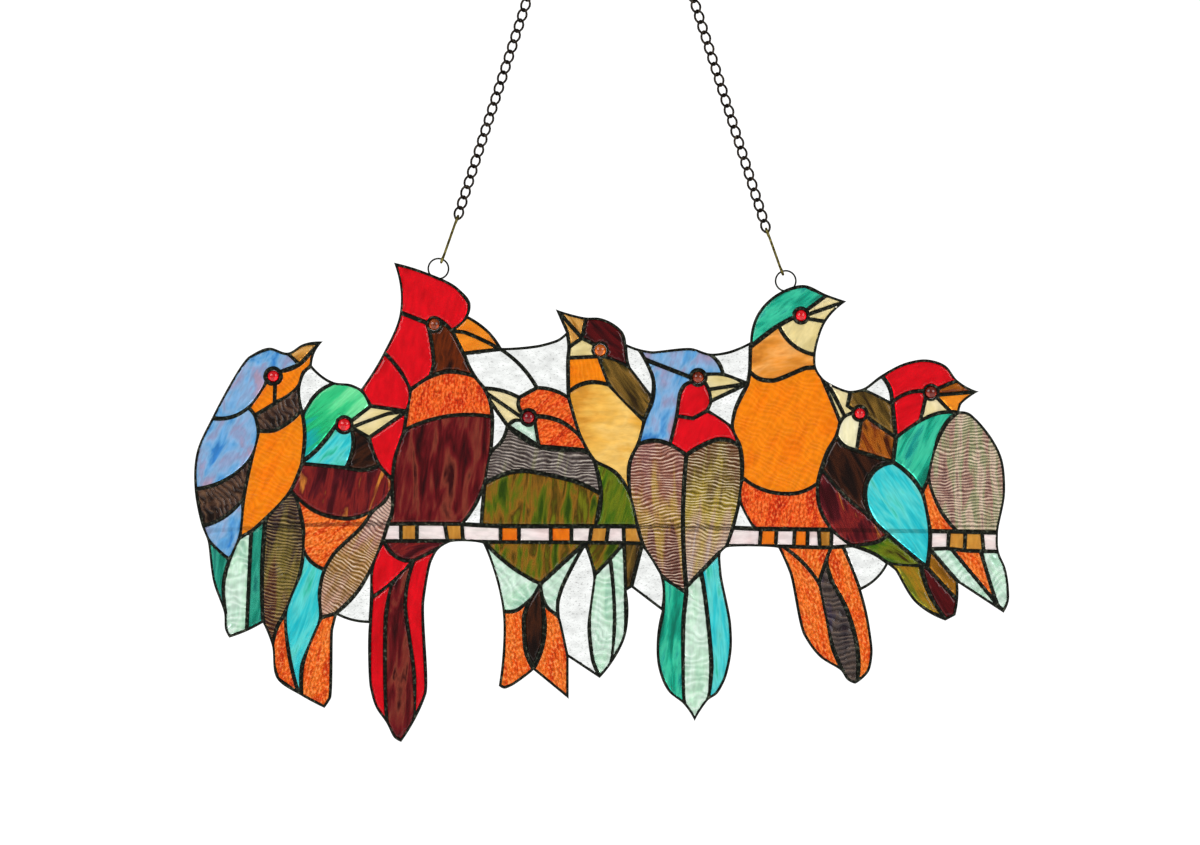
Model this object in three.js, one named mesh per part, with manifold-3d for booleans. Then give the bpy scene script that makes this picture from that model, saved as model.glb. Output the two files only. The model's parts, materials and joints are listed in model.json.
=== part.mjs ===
// A hanging panel of leaded glass: nine songbirds side by side on a perch, hung from one ring by two chains.
// Millimetres, Z up. The panel faces -Y; the origin is the inside top of the hanging ring.
import * as THREE from "three";
import { mergeVertices } from "three/addons/utils/BufferGeometryUtils.js";
import Module from "manifold-3d";

const wasm = await Module();
wasm.setup();

// Driving sizes
const PANEL_WIDTH = 610;
const DRAWN_WIDTH = 814; // the panel's width in squares of the drawing below
const LEAD_THICKNESS = 4.8;
const LEAD_FACE = 0.6; // what is left of a lead line, front and back, over glass that runs on behind it
const GLASS_THICKNESS = 3;
const GAP = 0.3; // between neighbouring pieces
const GROOVE_INSET = 0.15;
const OUTER_LINE = 2.8; // widths of the lead lines, in squares
const LINE = 4;
const THICK_LINE = 4.6;
const JEWEL_FRONT = 3.4; // how far the eye jewels stand out from the panel's middle
const JEWEL_BACK = 2.4;
const SOLDERED_RING_RADIUS = 7.6; // to the middle of the wire, as on the hanging ring
const SOLDERED_RING_WIRE = 1.3;
const HOOK_WIRE = 1.7;
const HOOK_EYE = 2.4; // the radius that a hook's ends are bent to
const HOOK_TOP_EYE = 2.9;
const CHAIN_PITCH = 8.25;
const LINK_WIDTH = 8.4;
const LINK_WIRE = 1.8;
const LINK_BITE = 0.4; // how far linked wires press into each other
const HANGING_RING_RADIUS = 11;
const HANGING_RING_WIRE = 2.6;
const BAR_WIRE = 3.2;

// Places on the drawing
const HANGING_RING = { x: 611, y: -262 };
const HANGERS = [
  { side: "left", ring: { x: 438.4, y: 268.7 }, low: { x: 442.3, y: 259.4 }, high: { x: 456.8, y: 219.5 } },
  { side: "right", ring: { x: 785.7, y: 280.9 }, low: { x: 781.9, y: 271.5 }, high: { x: 767.4, y: 232.4 } },
];
const BAR = "207,531 250,528.5 300,525.5 390,524 500,525.5 640,526.5 730,528 830,530 928,531.5 990,532";

// The drawing: x to the right and y down, in squares. Each lead line is a smooth curve through its points,
// and ends on its neighbours. o is the outer line, i an inner line and t a thick one. A star marks a line
// between two panes that share one solid.
const LINES = `
o 288,354 269.5,349 251,356.5 237.4,376.3 221.5,404.2 207,429.5 198,452.3 195.3,477.7 200.4,517
  208.6,539.7
o 208.6,539.7 211.2,564.7 218.8,597.6 225.5,613.5 227,631.4 230,636
o 230,636 240.4,633 254.7,625.3 263.5,621
i* 288,354 291.7,358 299.5,364.5
o 288,354 300.4,346.5 310,343.7 320.1,343.2
o 320.1,343.2 319,348 313.2,353.5 310.5,366
i* 320.1,343.2 311,351.5 299.5,364.5
i* 299.5,364.5 305,370.5
i* 281,371.5 290,367.5 299.5,364.5
i 213,418.5 229.2,417.7 240,413.3 249,407.5
i* 249,407.5 254.2,399.4 261,389.8 266.5,381.5
i 310.5,366 305,370.5 299.4,383.1 298.5,397.5 302.8,414.8 304.7,426.3 303.8,450.4 299.9,472.9
  289.3,493.1 271.5,512.3
i 271.5,512.3 265.8,518.5 252.3,530.6 239.8,538
i 298.8,386 286,395.1 269.6,407.1 255.5,415
i* 275.4,384.5 275.9,392.7 274.5,403.3
i 249,407.5 254.2,413.8 259,427.3 255.2,443.7 251.3,461.3 247.5,483.5 242.2,506.5 241,525 239.8,538
i 239.8,538 234,549.8 229.7,560
i* 229.7,560 225,576 223.5,588.3 225.5,613.5
i* 259.3,431 269.6,432.1 281.2,426.3 291.7,418.7 301.5,411
i* 197,489.2 216.7,484.4 236.9,471.9 252.3,456
i* 203.3,526 217.7,521 234,508.5 243,499
i 208.6,539.7 215.8,547.9 223.5,555.6 229.7,560
i* 251.5,531.5 250.6,550.4 249.6,581.1 248,611.9 246.5,629
t 265.8,518.5 266.3,529.6 264,541.2 262.6,566 265,590 263.5,621
o 310.5,366 324.4,376.3 333.3,383.3
i 302.8,414.8 312.5,401.7 318.3,392.5 325.8,386.7 333.3,383.3
o 333.3,383.3 351.7,385.8 361.5,390.5
i 361.5,390.5 368.3,400 370.8,406
t* 335.5,425.5 328.3,432.5 322.5,441.7 315.8,450.8 302.3,462
i 302,463.5 317.5,466.5 330,467.7 348.3,468 360.8,470.3 372,468 379.5,465.5
i* 352,427.5 353.6,441.7 350,458.3 346,467.8
i 370.8,406 378,407.2 398.3,409.2 407,411.3
i* 370.8,406.5 359.2,416.7 351.5,421
i* 352.3,426 373.3,420 390,413.3 407,411.3
i* 353,428.4 357,431.8 362.5,434.8 369.2,437.5
i 369.2,437.5 377.5,432.5 385.8,425 395.8,417.5 407,411.3
i 369.2,437.5 375,450 379.5,465.5
i 379.5,465.5 388.3,475 392.5,480
i* 291.5,491 300.8,501.7 318.3,512.5 340,518.3 351.7,518.3 371.7,511.7 384.2,501.7 391.8,488
i* 296,497 300.3,514 303.8,531.5 303.8,551
i 303.8,551 300.8,570.9 292.7,592.5 285.5,612.2 277.4,627 273,644
i* 285.5,612.2 286.2,629.5 288.8,651.6 295.4,679.6 298.3,692.9
i* 373.5,511.5 363.5,525 346.7,540.8 332.5,555.8 324.5,569.8
i 303.8,551 310.7,561 324.5,569.8
i 324.5,569.8 320.1,588.9 319.8,599.6 321,617.5
i 372,566.5 364.5,580.8 351,599.6 336,613.4
i 321,617.6 329.5,615.8 336,613.4
o 336,613.4 349.3,618.9 370.4,622
o 336,613.4 332.6,624.3 331.2,655.3 330.4,688.5 328,703.5 324.1,706.2
o 324.1,706.2 311.6,700.3 291.7,688.1 280,680.7 277.2,675 273.6,659 272.9,644.2 269.6,635.4
  263.5,621
t* 321,617.5 310.9,641.3 302,667.8 300.9,677.4 301.5,695
o 395.5,264.5 396,273.5 398.6,290 401.2,312.8
o 395.5,264.5 418.6,270.9 439.1,279.6 457.6,289.4 468.3,302.2 469.6,307.3 466.8,316.8
i* 466.8,316.8 452,331
t* 401.2,312.8 413.5,318.6 421.7,322.2 427,323
i* 437,317.8 445.3,322.7 452,331
i* 429,329.5 428.3,337 433.2,358 433.4,367 429.9,376.8
i* 452,331 457.6,345.3 463.7,353.5
i 463.7,353.5 470.9,365.8 474.2,375.8 484.2,388.1 490.4,402.4 492.9,427.1 491.4,447.6 485.2,481.3
  476.5,502.5 462.1,524
o 466.8,316.8 480.1,326.8 488.3,332.4 494.5,339.1 501,349.2
i* 452,331 462.7,331.9 480.1,340.6 501,349.2
i 463.7,353.5 478.1,351.4 488.3,350.4 501,349.2
o 401.2,312.8 396,325.8 386.8,349.4 374.5,369.2 361.5,390.5
i* 385.5,353.5 394,363 405.3,378.8 410.3,390
t 410.3,390 424.7,379.4 442.2,372.2 452.4,372.2 474.2,376.3
i 410.3,390 408.8,402.4 407,411.3
i* 407,411.3 404.2,430.1 394.5,460.9 392.5,480
i 392.5,480 392.4,488.1 391.4,516.9 386,528 382.7,541
i 382.7,541 377.5,554 372.5,566 371.5,578 371.8,599 370.4,622
o 370.4,622 370.4,640 370.2,679.3 373.8,698.5 379.8,712.1 389.5,725 396.7,738.6 400.7,740.2
o 400.7,740.2 408.7,728.2 417.5,712.1 424.7,695.3 424.3,669.7 424.9,660 425.9,647.2 423.1,628
  423.1,600.8 427.3,576.2 433.5,553.1 442.7,544.6 449.6,540.8
i* 404.5,429.6 426.8,425 447.3,416.8 467.8,414.2 492.4,416.5
i* 382.7,541 394.2,555.4 409.6,561.2 423.5,556.5 437,548.2
i* 372,598 385,587.7 400.4,575.4 414,560.3
t* 392.7,581.8 387.7,599.2 386.2,618.5 387.9,661.7 386.7,709.7 387.5,721.5
i* 414,560.3 407.3,583.8 405.4,606.9 411.1,646.4 415.1,690.5 412.5,718.5
o 501,349.2 507.5,348.3 528.3,347.9 550,343.3 563.3,337.5 567.5,333
i* 501,349.2 516.7,361.7 529.2,375.8 537,387.5
i 484.5,388 500.8,390.4 519.2,397.5
i 519.2,397.5 531.7,390 538.3,387.5 552.5,390 568.7,397.5
i 568.7,397.5 573.5,409 577.7,427.5 583.8,446.2 589,453.2 593.1,458.5 599.2,475.9 601.3,495.4
  598.7,511.8 595.5,526.2
i* 487.3,393.2 500.8,401.7 513.3,411.7 520.5,416.5
i 490,401 498.3,410.8 507.7,426
i* 519.2,397.5 518.5,406 522,413
i* 521,420.5 514,420.8 507.7,426
t* 536.3,416 550,418 565.8,424.2 578.7,436.5
i* 535,422 538.7,433.8 539.2,446.5
t 507.7,426 520.3,432.8 529.5,440 539.7,446.7 562.3,450.3 583.8,450.3 589,453.2
i 507.7,426 501.8,441 491.8,452.5
t* 485,483.5 499.7,477.9 511,472.3 523.3,470.8 547.9,475.9 572.6,481 592.1,487.7 601,494
i 486.2,484 481.8,499 480.9,510 481.3,525.3
o 484,541.8 487.3,552.3 495.4,577.7 501.2,600.8 504,611.4
i* 484,541.8 500,555.8 509.2,565 531.2,577.7 540.4,584
t* 540.4,584 550.8,573.1 570.4,558.1 580.8,547.7 585.5,542.4
i* 504,611.4 512.7,611.5 530,600 540.4,584
i* 540.4,584 543.5,600.5 547.8,607.8 558.2,616.5
i 585.5,542.4 577,561 564.6,581.2 557.7,603.1 558.2,616.5
o 504,611.4 504.3,640 502.8,668 500.2,685
o 500.2,685 504,687.2 518.7,680.4 533.5,668.3
o 533.5,668.3 541.1,676.5 556.8,689.4 567.3,696
o 567.3,696 568.2,681 567.3,655 561.3,630.5 558.2,616.5
t* 529,601 524.4,615 524.9,641.7 527.3,656 533.5,668.3
t* 542,598 544,615 543.6,638.3 541.1,651.8 533.5,668.3
o 567.3,655 581.5,664.7 590.5,672 599.4,676.3
o 558,311.2 571.9,313.8 581.9,318.3 585.8,318.8
o 558,311.2 563.5,320.8 566.5,329.2 567.5,333
i 567.5,333 568.8,343.1 569.2,350 566.5,369.2 567.7,381.5 568.7,397.5
i* 558,311.2 565,317.7 574.2,327.7 582,338.2
o 585.8,318.8 597.3,318.8 609.6,323.1 620.4,330.8 624.5,339.2 625.2,345
i* 585.8,318.8 585.1,328 582,338.2
i* 569,347 575.8,343.8 582,338.2
i* 582,338.2 588.1,339.2 594.5,344.5
i* 568.8,358.1 579.6,357.9 596,356.8
t 568.4,391.5 579.6,384.8 588.1,382.7 597.3,382.7 609,384.5
i 599,358 601.9,365.4 605.8,376.9 609,384.5
i 604.5,356.7 608.8,360.3 614.2,361.5 620.4,364.6 627.8,366.5
i 625.2,345 626.2,355.4 628.1,366.2 635.8,376.9 645,388.5 652.7,399.2
o 625.2,345 631.9,346.2 639.6,350.4
i 639.6,350.4 645,359.2 650.8,371.5 653.8,383.8 652.7,399.2 649.2,410.8 644.2,420.8 639.2,436.2
  638.2,444
t 609,384.5 616.9,393.8 631.5,408.5 640.8,418.5 644.2,420.8
i 638.2,444 632.7,452.3 630,463.1 629.3,475 629,488 630.6,500 633.9,516.2 637.5,526.3
i* 594.3,460.5 606.2,466.2 617.7,474.6 625.4,484.6 629.3,492
i 586.3,542.4 591.2,559.2 594.9,574.5
i 594.9,574.5 592.7,590.1 589.6,610.3 589.3,630.5 591.8,652.9 595.5,669.7 599.4,676.3
i* 594.9,574.5 603.8,566.2 611.9,556.9 624,542.7
o 599.4,676.3 603.9,673.1 610.6,662.5
i* 610.2,558.5 610.6,580 614,613.7 614.2,633.8 610.6,662.5
i* 624,542.7 624.6,574.2 625.4,590
o 625.4,590 625.6,602.4 624.9,628.2 622.1,642.8 610.6,662.5
i 642.5,543.5 638.5,556.9 633.9,572.9 631.6,586
o 625.4,590 628.6,587.3 631.6,586
o 631.6,586 637.9,589.6 649.6,598.1 663.2,610
o 639.6,350.4 649.6,352.5 663.1,351.2 684.6,349.4 697,350 704.4,352.1 710.6,354.9
i 710.6,354.9 715.1,358.3 721,367.3 723.2,374.4
o 710.6,354.9 719.6,354.7 734.9,350.3 745.6,346.2 751.2,343
i 751.2,343 750,349 749.6,360 749.6,372 747.6,383.6
i 723.2,374.4 733.1,377.6 747.6,383.6
t* 645.5,359.5 651.4,361.9 664.9,367.3 683.7,374.5 690,377.2
i* 705,374.3 710.6,374.7 723.2,374.4
i* 704.5,381.8 708.4,388.8 711,401
i* 708.6,389.5 724.1,387.2 747.6,383.6
i 711,401 716.9,396.9 730.4,391.5 747.6,383.6
i* 691.5,382 684.6,385.3 679.7,394.2 677.2,413 674.9,426.5 670.4,443.5
i* 677,416 688.2,418.9 699.9,416.2 707,410.8
i 711,401 710.3,406 707,410.8
i 707,410.8 717.8,417.6 732,427.6
i 747.6,383.6 742,394.2 736.7,405.9 732.6,418.5 732,427.6
i 732,427.6 738.5,438.2 740.3,451.7 741.3,470 741.9,477.5
t 638.2,444 649.6,440.8 664.9,442 674.7,447.2 686.3,455
t 686.3,455 699.9,446.4 719.6,439.1 730.4,440.6 739.8,446.5
t* 686.3,455 687,468 685.3,487.4 683.3,515.3 683,537.7 683.5,555.9 686.2,582.8 686.2,587
t 686.2,587 686.3,592.5
i 741.9,477.5 740.2,490 739.6,499.5
i 739.6,499.5 736.7,509 732.8,527.6
i 739.6,499.5 744.7,509.5 755,528.8
i 732.8,527.6 729.9,533.2 726.3,545.8
o 726.3,545.8 719.8,552
i 719.8,552 707.9,564.9 694.5,578.3 686.2,587
i 637.5,526.3 640.2,535 642.5,543.5
i 642.5,543.5 653.2,560.4 662.5,576.5
i 662.5,576.5 675.6,587.3 686.3,592.5
i 662.5,576.5 664,593.6 663.2,610
o 663.2,610 659.6,628 657.8,649.7 660,668.9 668.4,688.9 676.9,699 684.5,703.2
o 684.5,703.2 689.7,709.8 694.7,718.6
o 694.7,718.6 703.3,705 708,698.5
o 708,698.5 715.3,693.8 724.9,676.9 729.7,656.1 730.5,632.1 727.7,609.6 721.9,582.8 719.6,566.7
  719.8,552
t* 686.3,592.5 683.7,615 685,640 684.1,662.5 683.2,680 684.5,703.2
t* 701.2,572 703.3,600 706.9,625.6 710.5,657.7 711.3,680 708,698.5
o 751.2,343 752.8,330.6 759.5,312.7 772.1,298.8 788.2,290.1 805.3,286.5 815.1,288.9 829.5,297.4
  842.9,299.7 844,301.9
o 844,301.9 838.5,307.3 827.7,318.1 824.5,321.5
o 824.5,321.5 820.5,336 817.8,345.9 814.3,355 813.8,362 814.9,367.5 822.3,379.5
t* 750.5,347 758.6,341 764.9,334.9 775.6,327.1 786.4,322.1 793.5,317.5
i* 806.3,310.3 813.3,303.7 818.5,300 826,296
i* 808.4,314.3 819.6,310.9 833.1,306 844,301.9
i* 807.8,318.8 815.1,318.1 824.5,321.5
i* 778,326 786.4,336.9 795.4,346.8 806.2,353.1 814.3,355
t* 749.6,372 754.1,376.4 764,380.2 775.6,380.2 791.8,373.7 807.9,367.6 814.9,367.5
i 822.3,379.5 826.3,391.9 833.1,409 840.3,423.3 837.6,433.2 828.6,448.5 823.6,462 821.9,469.5
i 821.9,469.5 817.4,483.5
i 817.4,483.5 817.4,491 820.1,508.6 825.4,520.3 831.5,529.7
i* 741.9,477.5 757.7,487.5 775.6,492.9 797.2,492.9 809.7,488.4 817.4,483.5
o 779,546.2 784.6,556.2 790.5,572.1 795.6,595.6 800.3,621.3 805.9,636.7 821.3,656.7 834.6,664.9
  840.8,668.5 848.5,679.2 855.1,682.3
o 855.1,682.3 863.8,676.7 870,664.4 871,650 868.5,627.4 859.7,589.5
i* 783,546.5 800.8,560.6 815.1,577.2 818.8,582.5
i* 831,547.4 824.9,563.8 818.8,582.5
t* 818.8,582.5 822,601.8 829.1,632.6 837.5,662.3 842.5,670
t* 826.3,559.5 831,579.2 842.3,599.7 852.1,625.4 857.7,652.1 857.5,681.5
i 843,547.5 849,565.9 859.7,589.5
i 851.5,545.5 861.5,549 877.9,555.6 887.5,562.8
o 887.5,562.8 883.8,570 873.6,580.3 859.7,589.5
o 822.3,379.5 828.6,380.7 840.3,386.5 850.1,392.2
o 850.1,392.2 856,392 863,389.8
i 863,389.8 877.5,395 892.3,404.5
o 863,389.8 870.8,382.1 882.1,376.2
o 882.1,376.2 894.2,369.1 911.8,362.3 923.9,360.7 936,362.5 946.2,367.7 953.2,375.6 956.2,380.8
t 882.1,376.2 888.8,386.3 891.5,397 893.8,415 896.5,428 895.8,437.5
i* 867,417 875,423.3 886.7,430.8 895.8,437.5
i* 822.3,379.5 829,386.5 835.8,400 844.5,416.2
i* 850.1,392.2 848.8,399.2 847.5,406 853.3,410
i* 840,422 844.5,416.2 856,411.5
i* 836.4,435.8 840,442 848,447.5 856.5,450.6 870.8,456.3 883,460.5 892.8,461.8
i* 861,420.7 859.2,434.2 856.5,450.6
t 895.8,437.5 892.9,449.2 892.8,461.8
i* 821.9,469.5 834.9,482.8 845.1,496.2 863.6,511.5 872.5,519.5
t 872.5,519.5 887.5,534.5 904.6,549.5 915.9,560.3 927,567.5
t 892.8,461.8 878,467.5 868.7,477.7 865,491 866.2,504.4 872.5,519.5
t 892.8,461.8 905.6,471.5 920,487.9 924.6,501.3 928.2,515.6 930,531 929.5,548.8 927,567.5
i 831.5,529.7 840,536.2 851.5,545.5
i 851.5,545.5 865.6,543.3 881,540.3 887.5,534.5
i* 887.5,562.8 905,563.5 920.5,565.5 927,567.5
o 887.5,562.8 895.5,569 902.9,583.9 913.5,598.8 926.2,609.9 941,617.3 947.3,619.4 952,617.5
  956.3,609.3 956.8,600 956.8,580.5
t* 920.5,565.5 923.5,577.6 932,598.7 945.5,618.8
i* 927,567.5 938.8,580.8 949.4,592.4 956.7,600
i 929.5,548.8 937.8,557.5 948.4,570.2 956.8,580.5
o 956.2,380.8 965.7,385.3 976.4,391.8
o 976.4,391.8 971.3,396.9 958.8,405.3 957.8,412.3
i* 956.2,380.8 947.1,386.7 937.6,388.5
i* 938.3,395 949.9,394.6 961.1,392 976.4,391.8
i* 936.8,397.5 943.4,403 950.5,411.5
i* 920.3,420.5 931.3,415.5 944.4,411.8 957.8,412.3
i* 892.1,401.5 899.2,398.3 910.8,392.1 923.3,391
i* 925.5,397.5 922.6,402 922.3,412 920.3,420.5
i* 895.8,437.5 907.5,431.7 920.3,420.5
t 957.8,412.3 949,419.7 939.7,434.6 934.1,451.3 931.5,466 928.3,479
i* 928.3,479 922.2,492
i 928.3,479 931.9,491.1 939.7,508.4 948.4,523.1 957,531.5
o 957.8,412.3 968.5,414.1 980.6,425.7 991.8,440.2 1000.1,456.9 1003.3,473.7 1003.9,488.5 1002,508.4
  997.7,526.5 996.7,532.6
o 996.7,532.6 996.7,541 997.5,551.5
o 956.8,580.5 971.6,591.3 990.7,604.6 1003,610.8
i* 951,549.2 962.1,563.8 978,582.9 1003,610.8
t* 980.6,551.5 985.9,570.2 991.7,585 998,603
o 997.5,551.5 1003.9,567 1007.1,583.9 1007.4,600.9 1003,610.8
i 387.5,524 415,523.7 462.1,524
t 462.1,524 481.3,525.3 500,526 540,526.3 595.5,526.2 637.5,526.3
i 382.7,541 449.6,540.8 500,541.9 585.5,542.4 642.5,543.5
t 732.8,527.6 755,528.8 800,529.2 831.5,529.7
i 726.3,545.8 779,546.2 832,547.4 851.5,545.5
t 930,531 957,531.5 996.7,532.6
i 929.5,548.8 948,548.5 962,550.3 997.5,551.5
`;

// Cross lines between the perch's tiles: x at the top, y at the top, x at the foot, y at the foot
const TILE_LINES = `
401,524,401,541 417,524,417,541 444.8,524,447.7,541 462.1,524,463.1,541 500.6,526,500.6,542 519,526,519,542
550.8,526,550.8,542 571.5,526,571.5,542 591.7,526,589.4,542 608.5,526,606.2,543 623.5,526,624,543
760.8,529,759.5,546 776.5,529,775.6,546 794.7,529,793.8,546 807.7,529,807.2,547 818.5,529,819.8,547
831.5,530,832.2,547 948.7,531,947.7,548.5 965.2,532,964.4,550 981.7,532,983.4,551
`;

// Eye jewels: bird, centre, glass radius, the outer radius of the lead round it, and colour
const EYES = [
  ["bluebird", 273.3, 376.2, 6.1, 10, 0xd8141d],
  ["green_bird", 344.2, 424.8, 6.8, 9.7, 0xd8141d],
  ["cardinal", 434.2, 324.5, 6.2, 8.6, 0x8a3a18],
  ["orange_bird", 528.5, 417.5, 6.5, 9.6, 0x9a0c18],
  ["maroon_bird", 600.2, 350.2, 6.5, 9, 0xb8521c],
  ["crested_bird", 698.1, 377.5, 6.2, 9.6, 0x8a3018],
  ["teal_bird", 801, 315.6, 5.9, 9.2, 0xe0141d],
  ["brown_bird", 859.8, 413.5, 5.7, 8.8, 0xe0141d],
  ["red_bird", 930.9, 392.3, 6.5, 8.8, 0x7a2014],
];

// The glass: a name, a place on the drawing that lies in it, and its colour
const GLASS = `
bluebird_head 267,376 7f9fd0
bluebird_wing 222,470 86a6dc
bluebird_breast 279,452 f98d1c
bluebird_tail 242,590 8fd3c0
green_bird_head 338,425 3fc79a
green_bird_body 338,518 8a3a24
green_bird_tail 303,644 ee7c37
cardinal_head 434,334 d6141f
cardinal_body 438,453 7c1a1c
cardinal_tail 400,574 b8131c
orange_bird_head 547,417 ea6a31
orange_bird_body 529,486 7d6a2a
orange_bird_tail 529,578 c8d6c4
maroon_bird_head 582,368 d98c3a
maroon_bird_wing 620,378 7a5420
maroon_bird_body 610,430 f2bd5c
maroon_bird_tail 616,563 b9d5cb
crested_bird_head 686,382 86abd9
crested_bird_wings 683,505 8f6a4a
crested_bird_tail 694,648 4fbfb4
teal_bird_body 786,427 f7941c
teal_bird_tail 833,618 ec6a2c
brown_bird_body 868,431 5c3a1e
brown_bird_wing 895,501 2fbfb0
brown_bird_tail 936,588 7a5a22
red_bird_head 924,394 d0141d
red_bird_wing 967,481 7d5c4e
red_bird_tail 984,572 c9dfd3
perch_left 467,533 e9dcd6
perch_right 738,537 e9dcd6
perch_end 951,540 e9dcd6
clear_pane_1 310,384 f4f6f4
clear_pane_2 360,609 f4f6f4
clear_pane_3 474,519 f4f6f4
clear_pane_4 499,431 f4f6f4
clear_pane_5 518,372 f4f6f4
clear_pane_6 575,596 f4f6f4
clear_pane_7 637,363 f4f6f4
clear_pane_8 647,580 f4f6f4
clear_pane_9 735,364 f4f6f4
clear_pane_10 722,408 f4f6f4
clear_pane_11 742,521 f4f6f4
clear_pane_12 867,567 f4f6f4
clear_pane_13 881,388 f4f6f4
`;

// The planar net of lead lines
const FINENESS = 2; // squares that a line's straight stretches may stray from its curve
const EYE_FINENESS = 0.5;
const EDGE_FINENESS = 0.2;
const STEP = 0.5; // squares between the places where an edge is tested
const REACH = 12;
const SAMPLE = 1.5; // squares between points along a line
const SNAP = 7; // how far a line's end may be from the line it joins
const EYE_SIDES = 32;
const WIDTHS = { o: OUTER_LINE, i: LINE, t: THICK_LINE };
const distance = (a, b) => Math.hypot(a.x - b.x, a.y - b.y);
const pairs = (text) =>
  text.trim().split(/\s+/).map((p) => {
    const [x, y] = p.split(",").map(Number);
    return { x, y };
  });

function smooth(points) {
  const places = points.map((p) => new THREE.Vector3(p.x, p.y, 0));
  if (places.length < 3) places.splice(1, 0, places[0].clone().lerp(places[1], 0.5));
  const path = new THREE.CatmullRomCurve3(places, false, "centripetal");
  const count = Math.max(2, Math.round(path.getLength() / SAMPLE));
  return path.getSpacedPoints(count).map((v) => ({ x: v.x, y: v.y }));
}

// The nearest place on a polyline: the segment it falls on, the point and its distance
function nearestOn(line, p) {
  let best = { d: Infinity };
  for (let k = 0; k + 1 < line.length; k++) {
    const a = line[k];
    const b = line[k + 1];
    const dx = b.x - a.x;
    const dy = b.y - a.y;
    const t = Math.min(1, Math.max(0, ((p.x - a.x) * dx + (p.y - a.y) * dy) / (dx * dx + dy * dy || 1)));
    const q = { x: a.x + t * dx, y: a.y + t * dy };
    const d = distance(p, q);
    if (d < best.d) best = { d, k, t, q };
  }
  return best;
}

// Where two endless lines meet, and where two stretches cross
function meeting(one, two) {
  const run = { x: one.b.x - one.a.x, y: one.b.y - one.a.y };
  const other = { x: two.b.x - two.a.x, y: two.b.y - two.a.y };
  const den = run.x * other.y - run.y * other.x;
  if (Math.abs(den) < 1e-6) return null;
  const t = ((two.a.x - one.a.x) * other.y - (two.a.y - one.a.y) * other.x) / den;
  return { x: one.a.x + t * run.x, y: one.a.y + t * run.y };
}
function crossing(a, b, c, d) {
  const den = (b.x - a.x) * (d.y - c.y) - (b.y - a.y) * (d.x - c.x);
  if (Math.abs(den) < 1e-9) return null;
  const t = ((c.x - a.x) * (d.y - c.y) - (c.y - a.y) * (d.x - c.x)) / den;
  const u = ((c.x - a.x) * (b.y - a.y) - (c.y - a.y) * (b.x - a.x)) / den;
  return t >= 0 && t <= 1 && u >= 0 && u <= 1 ? { x: a.x + t * (b.x - a.x), y: a.y + t * (b.y - a.y) } : null;
}

const lines = [];
for (const row of LINES.trim().replace(/\n +/g, " ").split("\n")) {
  const [kind, ...rest] = row.split(" ");
  lines.push({ half: WIDTHS[kind[0]] / 2, inner: kind.endsWith("*"), points: smooth(pairs(rest.join(" "))) });
}
for (const set of TILE_LINES.trim().split(/\s+/)) {
  const [xt, yt, xb, yb] = set.split(",").map(Number);
  lines.push({ half: LINE / 2, inner: true, points: smooth([{ x: xt, y: yt }, { x: xb, y: yb }]) });
}
for (const [, x, y, glass, lead] of EYES) {
  const radius = (glass + lead) / 2;
  const points = [];
  for (let k = 0; k < EYE_SIDES; k++) {
    const turn = (k * 2 * Math.PI) / EYE_SIDES;
    points.push({ x: x + radius * Math.cos(turn), y: y + radius * Math.sin(turn) });
  }
  points.push(points[0]);
  lines.push({ half: (lead - glass) / 2, inner: false, eye: true, points });
}

// Each end of a line meets another end, or stops on the line it reaches
const corners = [];
function cornerAt(p, reach) {
  const found = corners.find((c) => distance(c, p) < reach);
  if (found) return found;
  const made = { x: p.x, y: p.y };
  corners.push(made);
  return made;
}
for (const line of lines) {
  if (line.eye) continue;
  for (const end of [0, 1]) {
    const at = end ? line.points.length - 1 : 0;
    const tip = line.points[at];
    const meets = lines.some((o) => o !== line && !o.eye && (distance(o.points[0], tip) < 1.2 ||
      distance(o.points[o.points.length - 1], tip) < 1.2));
    if (meets) {
      const c = cornerAt(tip, 1.2);
      line.points[at] = c;
    }
  }
}
for (const corner of corners)
  for (const line of lines) {
    if (line.eye || line.points.includes(corner)) continue;
    const at = line.points.findIndex((p) => distance(p, corner) < 0.6);
    const n = nearestOn(line.points, corner);
    if (at >= 0) line.points[at] = corner;
    else if (n.d < 1.2) line.points.splice(n.k + 1, 0, corner);
  }
for (const line of lines) {
  if (line.eye) continue;
  for (const end of [1, 0]) {
    const walk = end ? line.points.slice().reverse() : line.points;
    if (corners.includes(walk[0])) continue;
    let cut = null;
    for (let k = 0; k < Math.min(8, walk.length - 1) && !cut; k++)
      for (const other of lines) {
        if (other === line) continue;
        for (let j = 0; j + 1 < other.points.length; j++) {
          const q = crossing(walk[k], walk[k + 1], other.points[j], other.points[j + 1]);
          if (q) cut = { other, k, q };
        }
      }
    let host;
    let place;
    let kept;
    if (cut) {
      host = cut.other;
      place = nearestOn(host.points, cut.q);
      kept = walk.slice(cut.k + 1);
    } else {
      let best = { d: Infinity };
      for (const other of lines) {
        if (other === line) continue;
        const n = nearestOn(other.points, walk[0]);
        if (n.d < best.d) {
          best = n;
          host = other;
        }
      }
      if (best.d > SNAP) throw new Error("a lead line ends in the open at " + walk[0].x + "," + walk[0].y);
      place = best;
      kept = walk.slice();
    }
    const near = corners.find((c) => distance(c, place.q) < 1.6 && host.points.includes(c));
    const corner = near || { x: place.q.x, y: place.q.y };
    if (!near) {
      corners.push(corner);
      host.points.splice(place.k + 1, 0, corner);
    }
    while (kept.length > 1 && distance(kept[0], corner) < 0.8) kept.shift();
    kept.unshift(corner);
    line.points = end ? kept.reverse() : kept;
  }
}

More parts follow.
